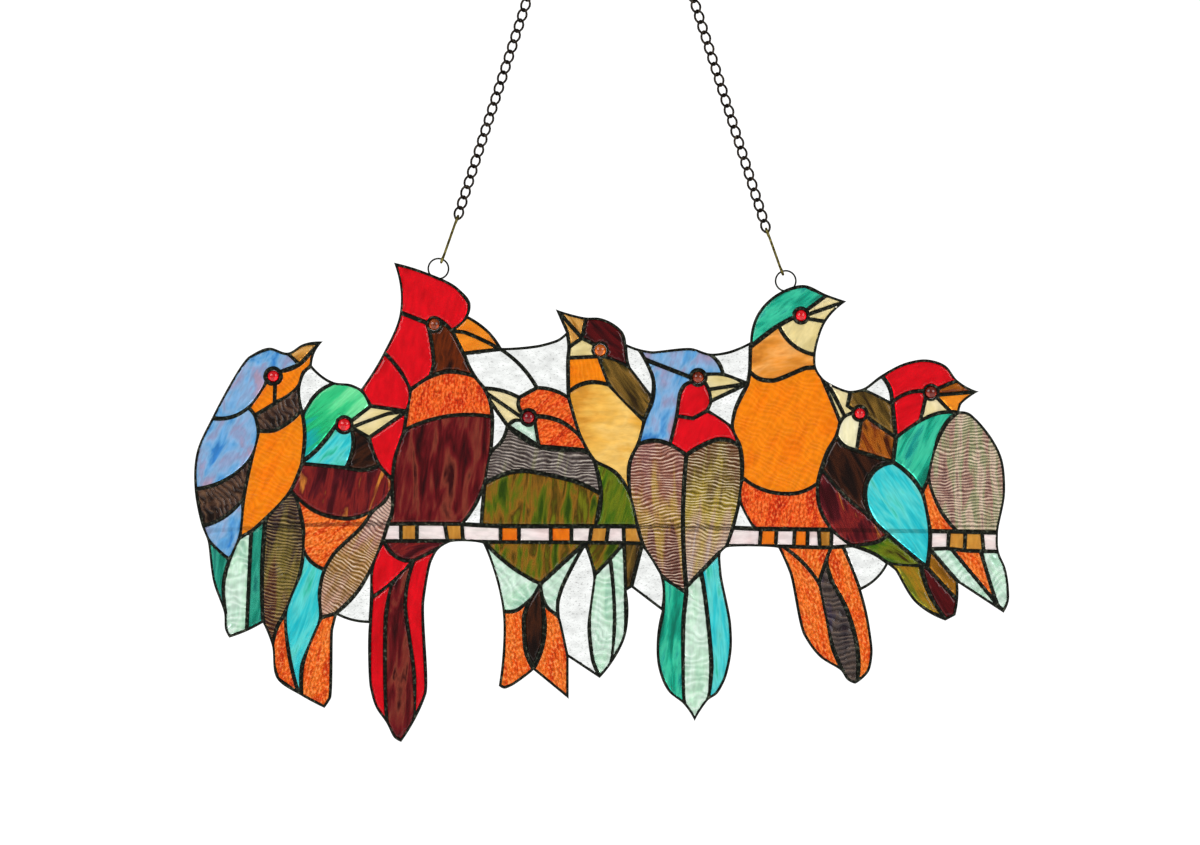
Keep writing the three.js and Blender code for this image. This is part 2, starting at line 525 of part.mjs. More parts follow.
function segmentDistance(p, { a, b }) {
  const dx = b.x - a.x;
  const dy = b.y - a.y;
  const t = Math.min(1, Math.max(0, ((p.x - a.x) * dx + (p.y - a.y) * dy) / (dx * dx + dy * dy || 1)));
  return Math.hypot(p.x - a.x - t * dx, p.y - a.y - t * dy);
}

// The points that a line's shape needs, from its first up to, but without, its last
function simplify(list, tolerance) {
  if (list.length < 3) return list.slice(0, 1);
  const chord = { a: list[0], b: list[list.length - 1] };
  let worst = 0;
  let at = 0;
  list.forEach((p, k) => {
    const d = chord.a === chord.b ? distance(p, chord.a) : segmentDistance(p, chord);
    if (d > worst) [worst, at] = [d, k];
  });
  if (worst < tolerance) return [list[0]];
  return [...simplify(list.slice(0, at + 1), tolerance), ...simplify(list.slice(at), tolerance)];
}

// Stretches between corners, each walked in both directions
const halves = [];
for (const line of lines) {
  let start = line.eye ? line.points.findIndex((p) => corners.includes(p)) : 0;
  const points = line.eye
    ? [...line.points.slice(start, -1), ...line.points.slice(0, start + 1)]
    : line.points;
  start = 0;
  for (let k = 1; k < points.length; k++)
    if (corners.includes(points[k])) {
      const run = simplify(points.slice(start, k + 1), line.eye ? EYE_FINENESS : FINENESS);
      run.push(points[k]);
      const there = { run, line, from: run[0], to: run[run.length - 1] };
      const back = { run: run.slice().reverse(), line, from: there.to, to: there.from };
      there.twin = back;
      back.twin = there;
      halves.push(there, back);
      start = k;
    }
}
function heading(half) {
  const [a] = half.run;
  const b = half.run.find((p) => distance(p, a) > 1.2) || half.run[half.run.length - 1];
  return Math.atan2(b.y - a.y, b.x - a.x);
}
function faces(used) {
  const leaving = new Map();
  for (const h of used) {
    if (!leaving.has(h.from)) leaving.set(h.from, []);
    leaving.get(h.from).push(h);
  }
  for (const list of leaving.values()) list.sort((a, b) => heading(a) - heading(b));
  const done = new Set();
  const found = [];
  for (const first of used) {
    if (done.has(first)) continue;
    const loop = [];
    let h = first;
    do {
      done.add(h);
      loop.push(h);
      const list = leaving.get(h.to);
      h = list[(list.indexOf(h.twin) + 1) % list.length];
    } while (h !== first);
    const points = loop.flatMap((e) =>
      e.run.slice(0, -1).map((p, k) => ({ a: p, b: e.run[k + 1], half: e.line.half })));
    const area = points.reduce((sum, { a, b }) => sum + a.x * b.y - b.x * a.y, 0) / 2;
    if (Math.abs(area) > 1) found.push({ points, area });
  }
  return found;
}

const inside = (p, polygon) =>
  polygon.reduce((odd, a, k) => {
    const b = polygon[(k + 1) % polygon.length];
    return a.y > p.y !== b.y > p.y && p.x < a.x + ((p.y - a.y) / (b.y - a.y)) * (b.x - a.x) ? !odd : odd;
  }, false);

// The edge of a face, set back from its lead lines by half their width and more
function setBack(face, more) {
  const around = face.points.map((s) => s.a);
  const edges = face.points.map(({ a, b, half }) => {
    const length = distance(a, b);
    const n = { x: ((b.y - a.y) / length) * (half + more), y: (-(b.x - a.x) / length) * (half + more) };
    return { a: { x: a.x + n.x, y: a.y + n.y }, b: { x: b.x + n.x, y: b.y + n.y }, length };
  });
  const clear = (p) =>
    inside(p, around) === face.area < 0 &&
    face.points.every((s) => segmentDistance(p, s) > s.half + more - 0.02);
  const runs = [];
  edges.forEach((edge) => {
    const steps = Math.ceil(edge.length / STEP);
    let run = null;
    for (let k = 0; k <= steps; k++) {
      const t = k / steps;
      const p = { x: edge.a.x + t * (edge.b.x - edge.a.x), y: edge.a.y + t * (edge.b.y - edge.a.y) };
      if (!clear(p)) run = null;
      else if (run) run.last = p;
      else runs.push((run = { edge, first: p, last: p }));
    }
  });
  const points = runs.flatMap((run, k) => {
    const next = runs[(k + 1) % runs.length];
    const q = meeting(run.edge, next.edge);
    const near = q && distance(run.last, q) < REACH && distance(next.first, q) < REACH && clear(q);
    return near ? [q] : [run.last, next.first];
  });
  const first = points.reduce((best, p, k) => (p.x < points[best].x ? k : best), 0);
  const outline = simplify([...points.slice(first), ...points.slice(0, first), points[first]], EDGE_FINENESS);
  return outline.filter((p, k) => {
    const chord = { a: outline.at(k - 1), b: outline[(k + 1) % outline.length] };
    return segmentDistance(p, chord) > EDGE_FINENESS / 2;
  });
}

const SCALE = PANEL_WIDTH / DRAWN_WIDTH;
const RING_INSIDE = HANGING_RING_RADIUS - HANGING_RING_WIRE / 2;
const across = (p) => (p.x - HANGING_RING.x) * SCALE;
const up = (p) => (HANGING_RING.y - p.y) * SCALE - RING_INSIDE;
const place = (p, y = 0) => new THREE.Vector3(across(p), y, up(p));

function solid(geometry) {
  const bare = geometry.clone();
  bare.deleteAttribute("normal");
  bare.deleteAttribute("uv");
  const merged = mergeVertices(bare, 1e-4);
  return new wasm.Manifold(new wasm.Mesh({
    numProp: 3,
    vertProperties: new Float32Array(merged.attributes.position.array),
    triVerts: new Uint32Array(merged.index.array),
  }));
}

const group = new THREE.Group();
function add(name, body, color, roughness, metalness) {
  const mesh = body.getMesh();
  const geometry = new THREE.BufferGeometry();
  geometry.setAttribute("position", new THREE.BufferAttribute(mesh.vertProperties, 3));
  geometry.setIndex(new THREE.BufferAttribute(mesh.triVerts, 1));
  geometry.computeVertexNormals();
  const made = new THREE.Mesh(geometry, new THREE.MeshStandardMaterial({ color, roughness, metalness }));
  made.name = name;
  group.add(made);
}

// A flat piece, standing upright, with its thickness centred on the panel
function sheet(outline, thickness) {
  const shape = new THREE.Shape(outline.map((p) => new THREE.Vector2(across(p), up(p))));
  const geometry = new THREE.ExtrudeGeometry(shape, { depth: thickness, bevelEnabled: false });
  return solid(geometry.translate(0, 0, -thickness / 2).rotateX(Math.PI / 2));
}
function circle({ x, y }, radius, sides) {
  return Array.from({ length: sides }, (_, k) => {
    const turn = (k * 2 * Math.PI) / sides;
    return { x: x + (radius / SCALE) * Math.cos(turn), y: y + (radius / SCALE) * Math.sin(turn) };
  });
}

// The lead net: one piece with a hole for every pane
const panes = faces(halves);
const pieces = faces(halves.filter((h) => !h.line.inner)).filter((f) => f.area < 0);
const rim = panes.reduce((best, f) => (f.area > best.area ? f : best));
const edge = (face, more = 0) => setBack(face, more / SCALE);
const windows = panes.filter((f) => f.area < 0).map((f) => sheet(edge(f), 2 * LEAD_THICKNESS));
let leading = wasm.Manifold.difference([sheet(edge(rim), LEAD_THICKNESS), ...windows]);

// The glass. A piece of several panes runs on behind the lead lines between them, which are grooved for it.
const EYE_CLEARANCE = 0.5;
const spread = (face) => face.points.map((s) => s.a);
for (const row of GLASS.trim().split("\n")) {
  const [name, seed, color] = row.split(" ");
  const [at] = pairs(seed);
  const face = pieces.find((f) => inside(at, spread(f)));
  const divided = lines.some((l) => l.inner && inside(l.points[l.points.length >> 1], spread(face)));
  const piece = (inset, thickness) => {
    const eyes = EYES.filter(([, x, y]) => inside({ x, y }, spread(face))).map(([, x, y, , lead]) =>
      sheet(circle({ x, y }, lead * SCALE + EYE_CLEARANCE + inset, 12), LEAD_THICKNESS));
    return wasm.Manifold.difference([sheet(edge(face, inset), thickness), ...eyes]);
  };
  if (divided)
    leading = leading.subtract(piece(GROOVE_INSET, LEAD_THICKNESS).translate(0, LEAD_FACE, 0));
  const glass = piece(divided ? GROOVE_INSET + GAP : GAP, GLASS_THICKNESS);
  add(name, glass, parseInt(color, 16), 0.2, 0);
}

// Eye jewels: domed in front, flatter behind
for (const [bird, x, y, glass, , color] of EYES) {
  const radius = glass * SCALE - GAP;
  const profile = [[0, -1], [0.66, -0.76], [1, 0], [0.66, 0.76], [0, 1]];
  const points = profile.map(([r, h]) =>
    new THREE.Vector2(r * radius, h * (h < 0 ? JEWEL_FRONT : JEWEL_BACK)));
  const dome = new THREE.LatheGeometry(points, 10).translate(across({ x }), 0, up({ y }));
  add(bird + "_eye", solid(dome), color, 0.1, 0);
}

// Wire rings in the plane of the panel
function ring(centre, radius, wire, sides, around) {
  const geometry = new THREE.TorusGeometry(radius, wire / 2, sides, around).rotateX(Math.PI / 2);
  const at = place(centre);
  return solid(geometry.translate(at.x, at.y, at.z));
}
function wire(points, thickness, sides, steps) {
  const path = new THREE.CatmullRomCurve3(points, false, "centripetal");
  const section = new THREE.Shape(Array.from({ length: sides }, (_, k) => {
    const turn = ((k + 0.5) * 2 * Math.PI) / sides;
    return new THREE.Vector2((thickness / 2) * Math.cos(turn), (thickness / 2) * Math.sin(turn));
  }));
  return solid(new THREE.ExtrudeGeometry(section, { extrudePath: path, steps, bevelEnabled: false }));
}

// A link lies along X and is as wide as Y: a frame of four straight stretches of three-sided wire, whose
// ridges face inwards, so that linked frames touch ridge on ridge
const LINK_REACH = (CHAIN_PITCH + LINK_WIRE - LINK_BITE) / 2; // from the link's middle to the wire at its end
function link(middle, along, turn) {
  const half = (LINK_WIDTH - LINK_WIRE) / 2;
  const section = [[-1, 0], [0.5, -0.87], [0.5, 0.87], [-1, 0]].map(([out, side]) =>
    new THREE.Vector2((half + (out * LINK_WIRE) / 2) * Math.SQRT2, (side * LINK_WIRE) / 2));
  const geometry = new THREE.LatheGeometry(section, 4, Math.PI / 4).rotateX(Math.PI / 2);
  const at = geometry.attributes.position;
  for (let k = 0; k < at.count; k++) at.setX(k, at.getX(k) + Math.sign(at.getX(k)) * (LINK_REACH - half));
  const sideways = new THREE.Vector3(along.z, 0, -along.x);
  const wide = sideways.multiplyScalar(Math.cos(turn)).add(new THREE.Vector3(0, Math.sin(turn), 0));
  const turned = new THREE.Matrix4().makeBasis(along, wide, along.clone().cross(wide));
  return solid(geometry.applyMatrix4(turned.setPosition(middle)));
}
function chain(from, to) {
  const count = Math.round(from.distanceTo(to) / CHAIN_PITCH);
  const along = to.clone().sub(from).normalize();
  const links = [];
  for (let k = 0; k <= count; k++) {
    const turn = k === count ? 90 : k % 2 ? 45 : -45; // the last one stands across the hanging ring
    links.push(link(from.clone().lerp(to, k / count), along, (turn * Math.PI) / 180));
  }
  return wasm.Manifold.union(links);
}

// Two hangers, each a soldered ring, a hook and a chain that runs up to the hanging ring
const RING_HOLD = 2.6; // from the hanging ring's wire to the end of the first link, middle to middle
for (const { side, ring: soldered, low, high } of HANGERS) {
  leading = leading.add(ring(soldered, SOLDERED_RING_RADIUS, SOLDERED_RING_WIRE, 4, 14));
  const foot = place(low);
  const head = place(high);
  const centre = place(HANGING_RING);
  const along = centre.clone().sub(head).normalize();
  const first = centre.clone().addScaledVector(along, RING_HOLD - HANGING_RING_RADIUS - LINK_REACH);
  const last = head.clone().addScaledVector(along, LINK_REACH);
  add(side + "_chain", chain(last, first), 0x3a332c, 0.45, 0.9);

  const shank = head.clone().sub(foot).normalize();
  const bend = (middle, radius, from, sweep) =>
    Array.from({ length: 7 }, (_, k) => {
      const turn = ((from + (sweep * k) / 6) * Math.PI) / 180;
      const out = shank.clone().multiplyScalar(radius * Math.cos(turn));
      return middle.clone().add(out).add(new THREE.Vector3(0, radius * Math.sin(turn), 0));
    });
  const route = [...bend(foot, HOOK_EYE, 370, -280), ...bend(head, HOOK_TOP_EYE, 270, 280)];
  add(side + "_hook", wire(route, HOOK_WIRE, 4, 22), 0x8a7a3c, 0.4, 0.9);
}
add("hanging_ring", ring(HANGING_RING, HANGING_RING_RADIUS, HANGING_RING_WIRE, 6, 16), 0x3a332c, 0.4, 0.9);

// The bar behind the panel, along the top of the perch
const behind = LEAD_THICKNESS / 2 + GAP + BAR_WIRE / 2;
add("back_bar", wire(pairs(BAR).map((p) => place(p, behind)), BAR_WIRE, 6, 9), 0x2c2a26, 0.5, 0.8);
add("leading", leading, 0x23241f, 0.5, 0.7);

export default group;
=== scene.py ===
# The looks of a hanging panel of leaded glass: nine songbirds side by side on a perch, hung by two chains.
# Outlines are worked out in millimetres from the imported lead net, and meshes are made in metres, Z up.
import json
import math
from collections import namedtuple
from functools import partial

import bpy
import numpy as np
from mathutils import Matrix, Vector, noise
from mathutils.bvhtree import BVHTree
from mathutils.geometry import delaunay_2d_cdt
from mathutils.kdtree import KDTree


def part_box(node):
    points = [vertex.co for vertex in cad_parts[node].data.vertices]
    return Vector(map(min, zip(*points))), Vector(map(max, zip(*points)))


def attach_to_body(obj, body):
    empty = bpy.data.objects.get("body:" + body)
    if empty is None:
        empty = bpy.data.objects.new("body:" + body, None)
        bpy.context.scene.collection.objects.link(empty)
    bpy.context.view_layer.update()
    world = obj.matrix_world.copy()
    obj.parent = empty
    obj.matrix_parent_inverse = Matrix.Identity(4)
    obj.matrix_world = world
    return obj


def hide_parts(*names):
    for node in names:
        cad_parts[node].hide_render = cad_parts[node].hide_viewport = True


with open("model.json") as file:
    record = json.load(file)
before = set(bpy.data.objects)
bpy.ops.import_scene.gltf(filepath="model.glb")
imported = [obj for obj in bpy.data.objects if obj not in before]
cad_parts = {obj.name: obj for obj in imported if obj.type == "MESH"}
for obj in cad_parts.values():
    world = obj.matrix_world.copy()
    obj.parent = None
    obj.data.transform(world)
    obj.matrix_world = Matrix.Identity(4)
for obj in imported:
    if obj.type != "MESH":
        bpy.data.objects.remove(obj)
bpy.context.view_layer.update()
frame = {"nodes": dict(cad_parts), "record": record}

# Driving sizes, in millimetres
MM = 0.001
CM = 10
PANEL_WIDTH = 610
DRAWN_WIDTH = 814  # the panel's width in squares of the drawing that the places below are given on
SQUARE = PANEL_WIDTH / DRAWN_WIDTH
RING_X, RING_Y = 611, -262  # the hanging ring's centre on the drawing
VIEW_X, VIEW_Y = 600, 422.5  # the middle of the view on the drawing
VIEW_SQUARES = 1200  # the width of the view
RING_RADIUS = 11
RING_WIRE = 2.6
RING_INSIDE = RING_RADIUS - RING_WIRE / 2
GLASS_HALF = 1.5
LEAD_HALF = 2.4
BEAD_WIDTH = 1.7  # from the edge of a lead line to the full height of its bead
BEAD_ROWS = (0.4, 0.95, 1.5, 2.15, 2.9, 3.7, 4.6)  # distances of the net's points from a pane's edge
ROW_SLACK = 0.93  # share of its row's distance that a point keeps from every edge
JOINT_SLOPE = 0.12  # how steeply the solder goes on rising beyond a bead's width, at a joint
JOINT_REACH = 2  # how far it does
RIM_ROUND = 1.3  # how far in from the rim its rounding goes
RIM_FLAT = 0.05  # left of the glass's half thickness at the rim
LUMP_HEIGHT = 0.22  # unevenness of the solder
LUMPS_PER_MM = 0.22
LUMP_SEEDS = (0, 9)  # for the front and the back
EDGE_STEP = 1.25  # between points along a pane's edge
CORNER_TURN = math.radians(37)  # a sharper turn of a pane's edge than this is a corner
RIM_CORNER_TURN = math.radians(52)  # the same for the rim
SLACK = 1.4  # how many times a short side's length its turn may reach into a long neighbour
LEAST_LEAD = 2.0  # lead lines thinner than this are widened
TUCK = 0.4  # how far a pane runs under the lead
JEWEL_TUCK = 0.35  # the same for a jewel
SOLDERED_RING_RADIUS = 7.6
SOLDERED_RING_WIRE = 1.35
HOOK_WIRE = 1.9
HOOK_FOOT = 2.4
HOOK_HEAD = 2.9
SOLDER_DROP = (3.4, 1.3, 1.1)  # half its length, depth and height
BAR_WIRE = 3.2
BAR_GAP = 0.3  # between the bar and the net
LINK_PITCH = 8.25
LINK_WIDTH = 8.2
LINK_WIRE = 1.75
LINK_TWIST = math.radians(42)  # at each end
LINK_STEPS, LINK_SIDES = 16, 6
SAME_FACE = 1e-5  # metres, how far a point may lie behind the front face and still be on it
TINY = 1e-9  # keeps lengths of nought from being divided by
LEVEL = 1e-12  # the same for the rise of a level edge
MERGE = 1e-5  # points nearer than this become one


def place(x, y):
    """A place on the drawing as X and Z in millimetres."""
    return np.array([(x - RING_X) * SQUARE, (RING_Y - y) * SQUARE - RING_INSIDE])


# Outlines: closed rows of X and Z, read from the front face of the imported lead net
def front_loops(node):
    """The edges of a node's front face, as closed outlines in millimetres."""
    mesh = frame["nodes"][node].data
    mesh.calc_loop_triangles()
    front = min(v.co.y for v in mesh.vertices)
    points = {}
    edges = {}
    for triangle in mesh.loop_triangles:
        corners = [mesh.vertices[v].co for v in triangle.vertices]
        if any(c.y > front + SAME_FACE for c in corners):
            continue
        keys = [(round(c.x, 6), round(c.z, 6)) for c in corners]
        for k, c in zip(keys, corners):
            points[k] = (c.x / MM, c.z / MM)
        for a, b in zip(keys, keys[1:] + keys[:1]):
            if (b, a) in edges:
                del edges[(b, a)]
            else:
                edges[(a, b)] = True
    following = {}
    for a, b in edges:
        following.setdefault(a, []).append(b)
    loops = []
    while following:
        start = next(iter(following))
        loop = [start]
        here = following[start].pop()
        while here != start:
            loop.append(here)
            here = following[here].pop()
        following = {a: rest for a, rest in following.items() if rest}
        loops.append(np.array([points[k] for k in loop]))
    return loops


def area(loop):
    """The area inside an outline, above zero if it turns to the left."""
    x, z = loop[:, 0], loop[:, 1]
    return 0.5 * float(np.sum(x * np.roll(z, -1) - np.roll(x, -1) * z))


def turns(loop):
    """The angle that an outline turns by at each of its points."""
    before = loop - np.roll(loop, 1, axis=0)
    after = np.roll(loop, -1, axis=0) - loop
    cross = before[:, 0] * after[:, 1] - before[:, 1] * after[:, 0]
    dot = np.sum(before * after, axis=1)
    return np.arctan2(cross, dot)


def curve(points, closed, step):
    """A smooth curve through points, without its last one."""
    count = len(points)
    runs = np.roll(points, -1, axis=0) - points
    lengths = np.linalg.norm(runs, axis=1) + TINY
    headings = runs / lengths[:, None]
    tangents = headings.copy()
    for k in range(0 if closed else 1, count if closed else count - 1):
        before, after = lengths[k - 1], lengths[k]
        tangents[k] = (headings[k - 1] * after + headings[k] * before) / (before + after)
    if not closed and count > 2:
        tangents[0] = 2 * headings[0] - tangents[1]
        tangents[-1] = 2 * headings[-2] - tangents[-2]
    elif not closed:
        tangents[-1] = headings[0]
    rows = []
    spans = count if closed else count - 1
    for k in range(spans):
        a, b = points[k], points[(k + 1) % count]
        steps = max(1, round(lengths[k] / step))
        t = (np.arange(steps) / steps)[:, None]
        before = lengths[k - 1] if closed or k else lengths[min(1, spans - 1)]
        after = lengths[(k + 1) % count] if closed or k < spans - 1 else lengths[k - 1 if k else 0]
        lead = tangents[k] * min(lengths[k], SLACK * before)
        tail = tangents[(k + 1) % count] * min(lengths[k], SLACK * after)
        rows.append((2 * t**3 - 3 * t**2 + 1) * a + (t**3 - 2 * t**2 + t) * lead
                    + (3 * t**2 - 2 * t**3) * b + (t**3 - t**2) * tail)
    return np.concatenate(rows)


def smooth(loop, corner_turn):
    """An outline whose slight turns are rounded and whose corners stay."""
    corners = [k for k, turn in enumerate(turns(loop)) if abs(turn) > corner_turn]
    if not corners:
        return curve(loop, True, EDGE_STEP)
    rows = []
    for k, first in enumerate(corners):
        last = corners[(k + 1) % len(corners)]
        if last <= first:
            last += len(loop)
        rows.append(curve(loop[np.arange(first, last + 1) % len(loop)], False, EDGE_STEP))
    return np.concatenate(rows)


def normals(loop):
    """Directions to the left of an outline at its points."""
    run = np.roll(loop, -1, axis=0) - np.roll(loop, 1, axis=0)
    run /= np.linalg.norm(run, axis=1)[:, None] + TINY
    return np.stack([-run[:, 1], run[:, 0]], axis=1)


def within(points, loop):
    """Which points lie inside an outline."""
    odd = np.zeros(len(points), bool)
    low, high = loop.min(axis=0), loop.max(axis=0)
    near = np.where(np.all((points > low) & (points < high), axis=1))[0]
    if not len(near):
        return odd
    x, z = points[near, 0][:, None], points[near, 1][:, None]
    ax, az = loop[:, 0], loop[:, 1]
    bx, bz = np.roll(ax, -1), np.roll(az, -1)
    rise = np.where(bz == az, LEVEL, bz - az)
    hits = ((az > z) != (bz > z)) & (x < ax + (z - az) / rise * (bx - ax))
    odd[near] = np.sum(hits, axis=1) % 2 == 1
    return odd


def tree_of(points):
    """A tree that finds the nearest of some points."""
    tree = KDTree(len(points))
    for k, p in enumerate(points):
        tree.insert((p[0], p[1], 0), k)
    tree.balance()
    return tree


def triangulate(points, loops):
    """Delaunay triangles of points that keep the edges of outlines, which are lists of point numbers."""
    edges = [pair for loop in loops for pair in zip(loop, loop[1:] + loop[:1])]
    out = delaunay_2d_cdt([Vector(p) for p in points], edges, [], 0, MERGE)
    first = [origins[0] if origins else -1 for origins in out[3]]
    places = np.array([tuple(v) for v in out[0]])
    faces = np.array([f for f in out[2] if len(f) == 3])
    return places, faces, first


def build(name, vertices, faces, materials, slots=None, grain=None):
    """A smooth-shaded mesh object, from places in millimetres. Grain is its two grain coordinates, the
    phase of its ripples and the share of the pane passed, at each vertex."""
    mesh = bpy.data.meshes.new(name)
    mesh.from_pydata([tuple(c * MM for c in v) for v in vertices], [], faces)
    for material in materials:
        mesh.materials.append(material)
    if slots is not None:
        mesh.polygons.foreach_set("material_index", slots)
    if grain is not None:
        grain = np.asarray(grain, np.float32)
        layer = mesh.uv_layers.new(name="grain")
        corners = np.zeros(len(mesh.loops), np.int32)
        mesh.loops.foreach_get("vertex_index", corners)
        layer.data.foreach_set("uv", grain[corners, :2].ravel())
        for column, label in enumerate(("phase", "along"), 2):
            values = np.ascontiguousarray(grain[:, column])
            mesh.attributes.new(label, "FLOAT", "POINT").data.foreach_set("value", values)
    mesh.polygons.foreach_set("use_smooth", [True] * len(mesh.polygons))
    mesh.update()
    made = bpy.data.objects.new(name, mesh)
    bpy.context.scene.collection.objects.link(made)
    return made


def attach(piece, slot, *nodes):
    """Rides a piece on the panel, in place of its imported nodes."""
    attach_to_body(piece, "root")
    if nodes:
        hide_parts(*nodes)


# Materials
NOISE_LOW, NOISE_SPAN = 0.33, 0.34  # where most of a noise texture's values lie


def color(text):
    """A linear colour from a hexadecimal one, by the sRGB curve."""
    parts = [int(text[k:k + 2], 16) / 255 for k in (0, 2, 4)]
    return [p / 12.92 if p <= 0.04045 else ((p + 0.055) / 1.055) ** 2.4 for p in parts] + [1]


def grey(level):
    """A hexadecimal grey of a linear level, by the same curve."""
    level = 12.92 * level if level <= 0.0031308 else 1.055 * level ** (1 / 2.4) - 0.055
    return f"{round(255 * level):02x}" * 3


def material_tree(name, **values):
    """A new material with plain values on its shader."""
    material = bpy.data.materials.new(name)
    material.use_nodes = True
    shader = material.node_tree.nodes["Principled BSDF"]
    for socket, value in values.items():
        shader.inputs[socket.replace("_", " ")].default_value = value
    return material, material.node_tree, shader


def node(tree, kind, inputs=None, **settings):
    """A new node, whose inputs are plain values or linked sockets. Shader nodes go by their short names."""
    made = tree.nodes.new(kind if "Node" in kind else "ShaderNode" + kind)
    for key, value in settings.items():
        setattr(made, key, value)
    for key, value in (inputs or {}).items():
        if isinstance(value, bpy.types.NodeSocket):
            tree.links.new(value, made.inputs[key])
        else:
            made.inputs[key].default_value = value
    return made


def ramp(tree, factor, colors, places=None):
    """Colours that follow a factor, by default over the span that most of a noise texture's values take."""
    made = node(tree, "ValToRGB", {"Fac": factor})
    stops = made.color_ramp.elements
    while len(stops) < len(colors):
        stops.new(0.5)
    for k, c in enumerate(colors):
        stops[k].position = places[k] if places else NOISE_LOW + NOISE_SPAN * k / max(1, len(colors) - 1)
        stops[k].color = color(c)
    return made.outputs["Color"]


# Kinds of glass: how much light passes through, the roughness, the streaks' length and width, the form of
# the relief, its pitch and depth, how much painted shade darkens its hollows and how much painted highlight
# lights up its crests
Kind = namedtuple("Kind", "light rough long wide form pitch depth dark line")
KINDS = {
    "streaky": Kind(0.6, 0.16, 42, 8, "swell", 15, 0.14, 0, 0),
    "opal": Kind(0.4, 0.22, 36, 18, "swell", 14, 0.12, 0, 0),
    "cloudy": Kind(0.4, 0.2, 26, 13, "swell", 14, 0.14, 0, 0),
    "plain": Kind(0.6, 0.14, 40, 20, "swell", 14, 0.1, 0, 0),
    "faint": Kind(0.6, 0.15, 40, 18, "ripples", 3.7, 0.1, 0.1, 0.16),
    "hammered": Kind(0.7, 0.2, 26, 9, "dimples", 1.6, 0.2, 0.4, 0.6),
    "ripple": Kind(0.6, 0.18, 40, 14, "ripples", 4.6, 0.35, 0.45, 0.5),
    "soft ripple": Kind(0.6, 0.18, 40, 14, "ripples", 6.2, 0.5, 0.16, 0.5),
    "fine ripple": Kind(0.7, 0.16, 60, 9, "ripples", 2.4, 0.3, 0.62, 0.8),
    "clear": Kind(1.0, 0.03, 30, 30, "dimples", 1.3, 0.25, 0.38, 0),
}

# The glass: its kind, its colours, how far they follow each other along the pane rather than at random,
# and the colour of the painted highlight lines on the relief's crests
GLASSES = {
    "sky": ("cloudy", "3a88d0 68aee2 90bce4 9aa6cc b8a4c0", 0, "ffffff"),
    "brown ripple": ("ripple", "20120b 402820 5e402e 301c12", 0, "8c6a50"),
    "orange": ("faint", "ff8600 ff9206 fb8200", 0, "ffb040"),
    "orange ripple": ("faint", "fc7a00 ff8e08 fc8400", 0, "ffa438"),
    "tan": ("streaky", "b87c28 d89c48 e4ae5c b07420", 0, "ffffff"),
    "tawny": ("streaky", "541c04 843808 b46414 481a04", 0, "ffffff"),
    "teal": ("streaky", "0c6450 149078 38b094 0d7068", 0, "ffffff"),
    "turquoise": ("streaky", "1ec0cc 38d2d8 66e0dc 2cc4a0", 0, "ffffff"),
    "emerald": ("streaky", "18b4b4 22c07c 40d890 80f0ac", 0.4, "ffffff"),
    "deep teal": ("streaky", "0a8068 16b090 44d4ac 0c9890", 0, "ffffff"),
    "mint": ("soft ripple", "b0e0c4 cef4d8 e0f8e8 bce8cc", 0, "f4fbf4"),
    "dark": ("streaky", "0c0604 200e08 44200e 140905", 0, "ffffff"),
    "cream": ("opal", "e8d490 f4e2a4 fcecbc", 0, "ffffff"),
    "burgundy": ("streaky", "2c0408 54080e 74141a 8c3c2c 3c060a", 0, "ffffff"),
    "burgundy amber": ("streaky", "3c060c 58101a 8c2420 6c121a dc8834", 0, "ffffff"),
    "orange hammered": ("hammered", "dc3c00 fa6008 ff8024 ec4c04", 0, "ffb468"),
    "flame": ("hammered", "d02c00 f04808 ff6c1c dc3800", 0, "ffa058"),
    "red": ("plain", "d00010 e8061a dc0216", 0, "ffffff"),
    "chestnut": ("streaky", "1a0804 3c1604 742c04 240c04", 0, "ffffff"),
    "iridescent": ("fine ripple", "8c5c54 b48878 98a070 dcc0a8 987064", 0, "ecd8c0"),
    "iridescent pink": ("fine ripple", "64301c 7c3c2c c8a03c 9c583c 9c6058", 0.5, "f4dcc8"),
    "iridescent olive": ("fine ripple", "d0bcbc c09878 c0a42c 7c6018 74421c", 0.5, "f0e0c4"),
    "iridescent tan": ("fine ripple", "d09c84 a07034 b88434 b87c6c d0a898", 0.5, "f4e0cc"),
    "iridescent brown": ("fine ripple", "501c0c 5c2c14 807024 30180c 3c2028", 0.5, "b89c68"),
    "iridescent grey": ("fine ripple", "342824 584a44 706460 888460", 0, "d8ccc0"),
    "olive": ("streaky", "304a04 60700c 98681a 504006 787a10", 0, "ffffff"),
    "green olive": ("streaky", "1c4404 446c0c 748014 3c2c08", 0, "ffffff"),
    "olive brown": ("streaky", "34240c 644c1a 8e6a2a 44380f", 0, "ffffff"),
    "olive amber": ("streaky", "546c10 90821a ac7c18 4a5a0c", 0, "ffffff"),
    "maroon": ("streaky", "240206 440408 600c10 2c0408", 0, "ffffff"),
    "amber": ("plain", "f08410 fc9a24 f08c16", 0, "ffffff"),
    "honey": ("opal", "d07c20 f09c34 ffb860 e89028", 0, "ffffff"),
    "amber opal": ("opal", "e4a034 f8c458 fcd274 f0b440", 0.4, "ffffff"),
    "ochre": ("streaky", "603c04 885808 a46c14 4c2c04", 0, "ffffff"),
    "grey ripple": ("ripple", "2c2028 483c3c 584840 382c44", 0, "907c6c"),
    "ivory": ("opal", "f8f0c0 fff8d4 fffce8", 0, "ffffff"),
    "clear": ("clear", "eceeec f6f8f6 f0f2f0", 0, "ffffff"),
    "tile white": ("opal", "f4dcd8 fcecea fff4f0 f8e0dc", 0, "ffffff"),
    "tile amber": ("opal", "bc7c24 dc9c3c cc8830", 0, "ffffff"),
    "tile orange": ("opal", "e46800 f88008 ec7400", 0, "ffffff"),
}

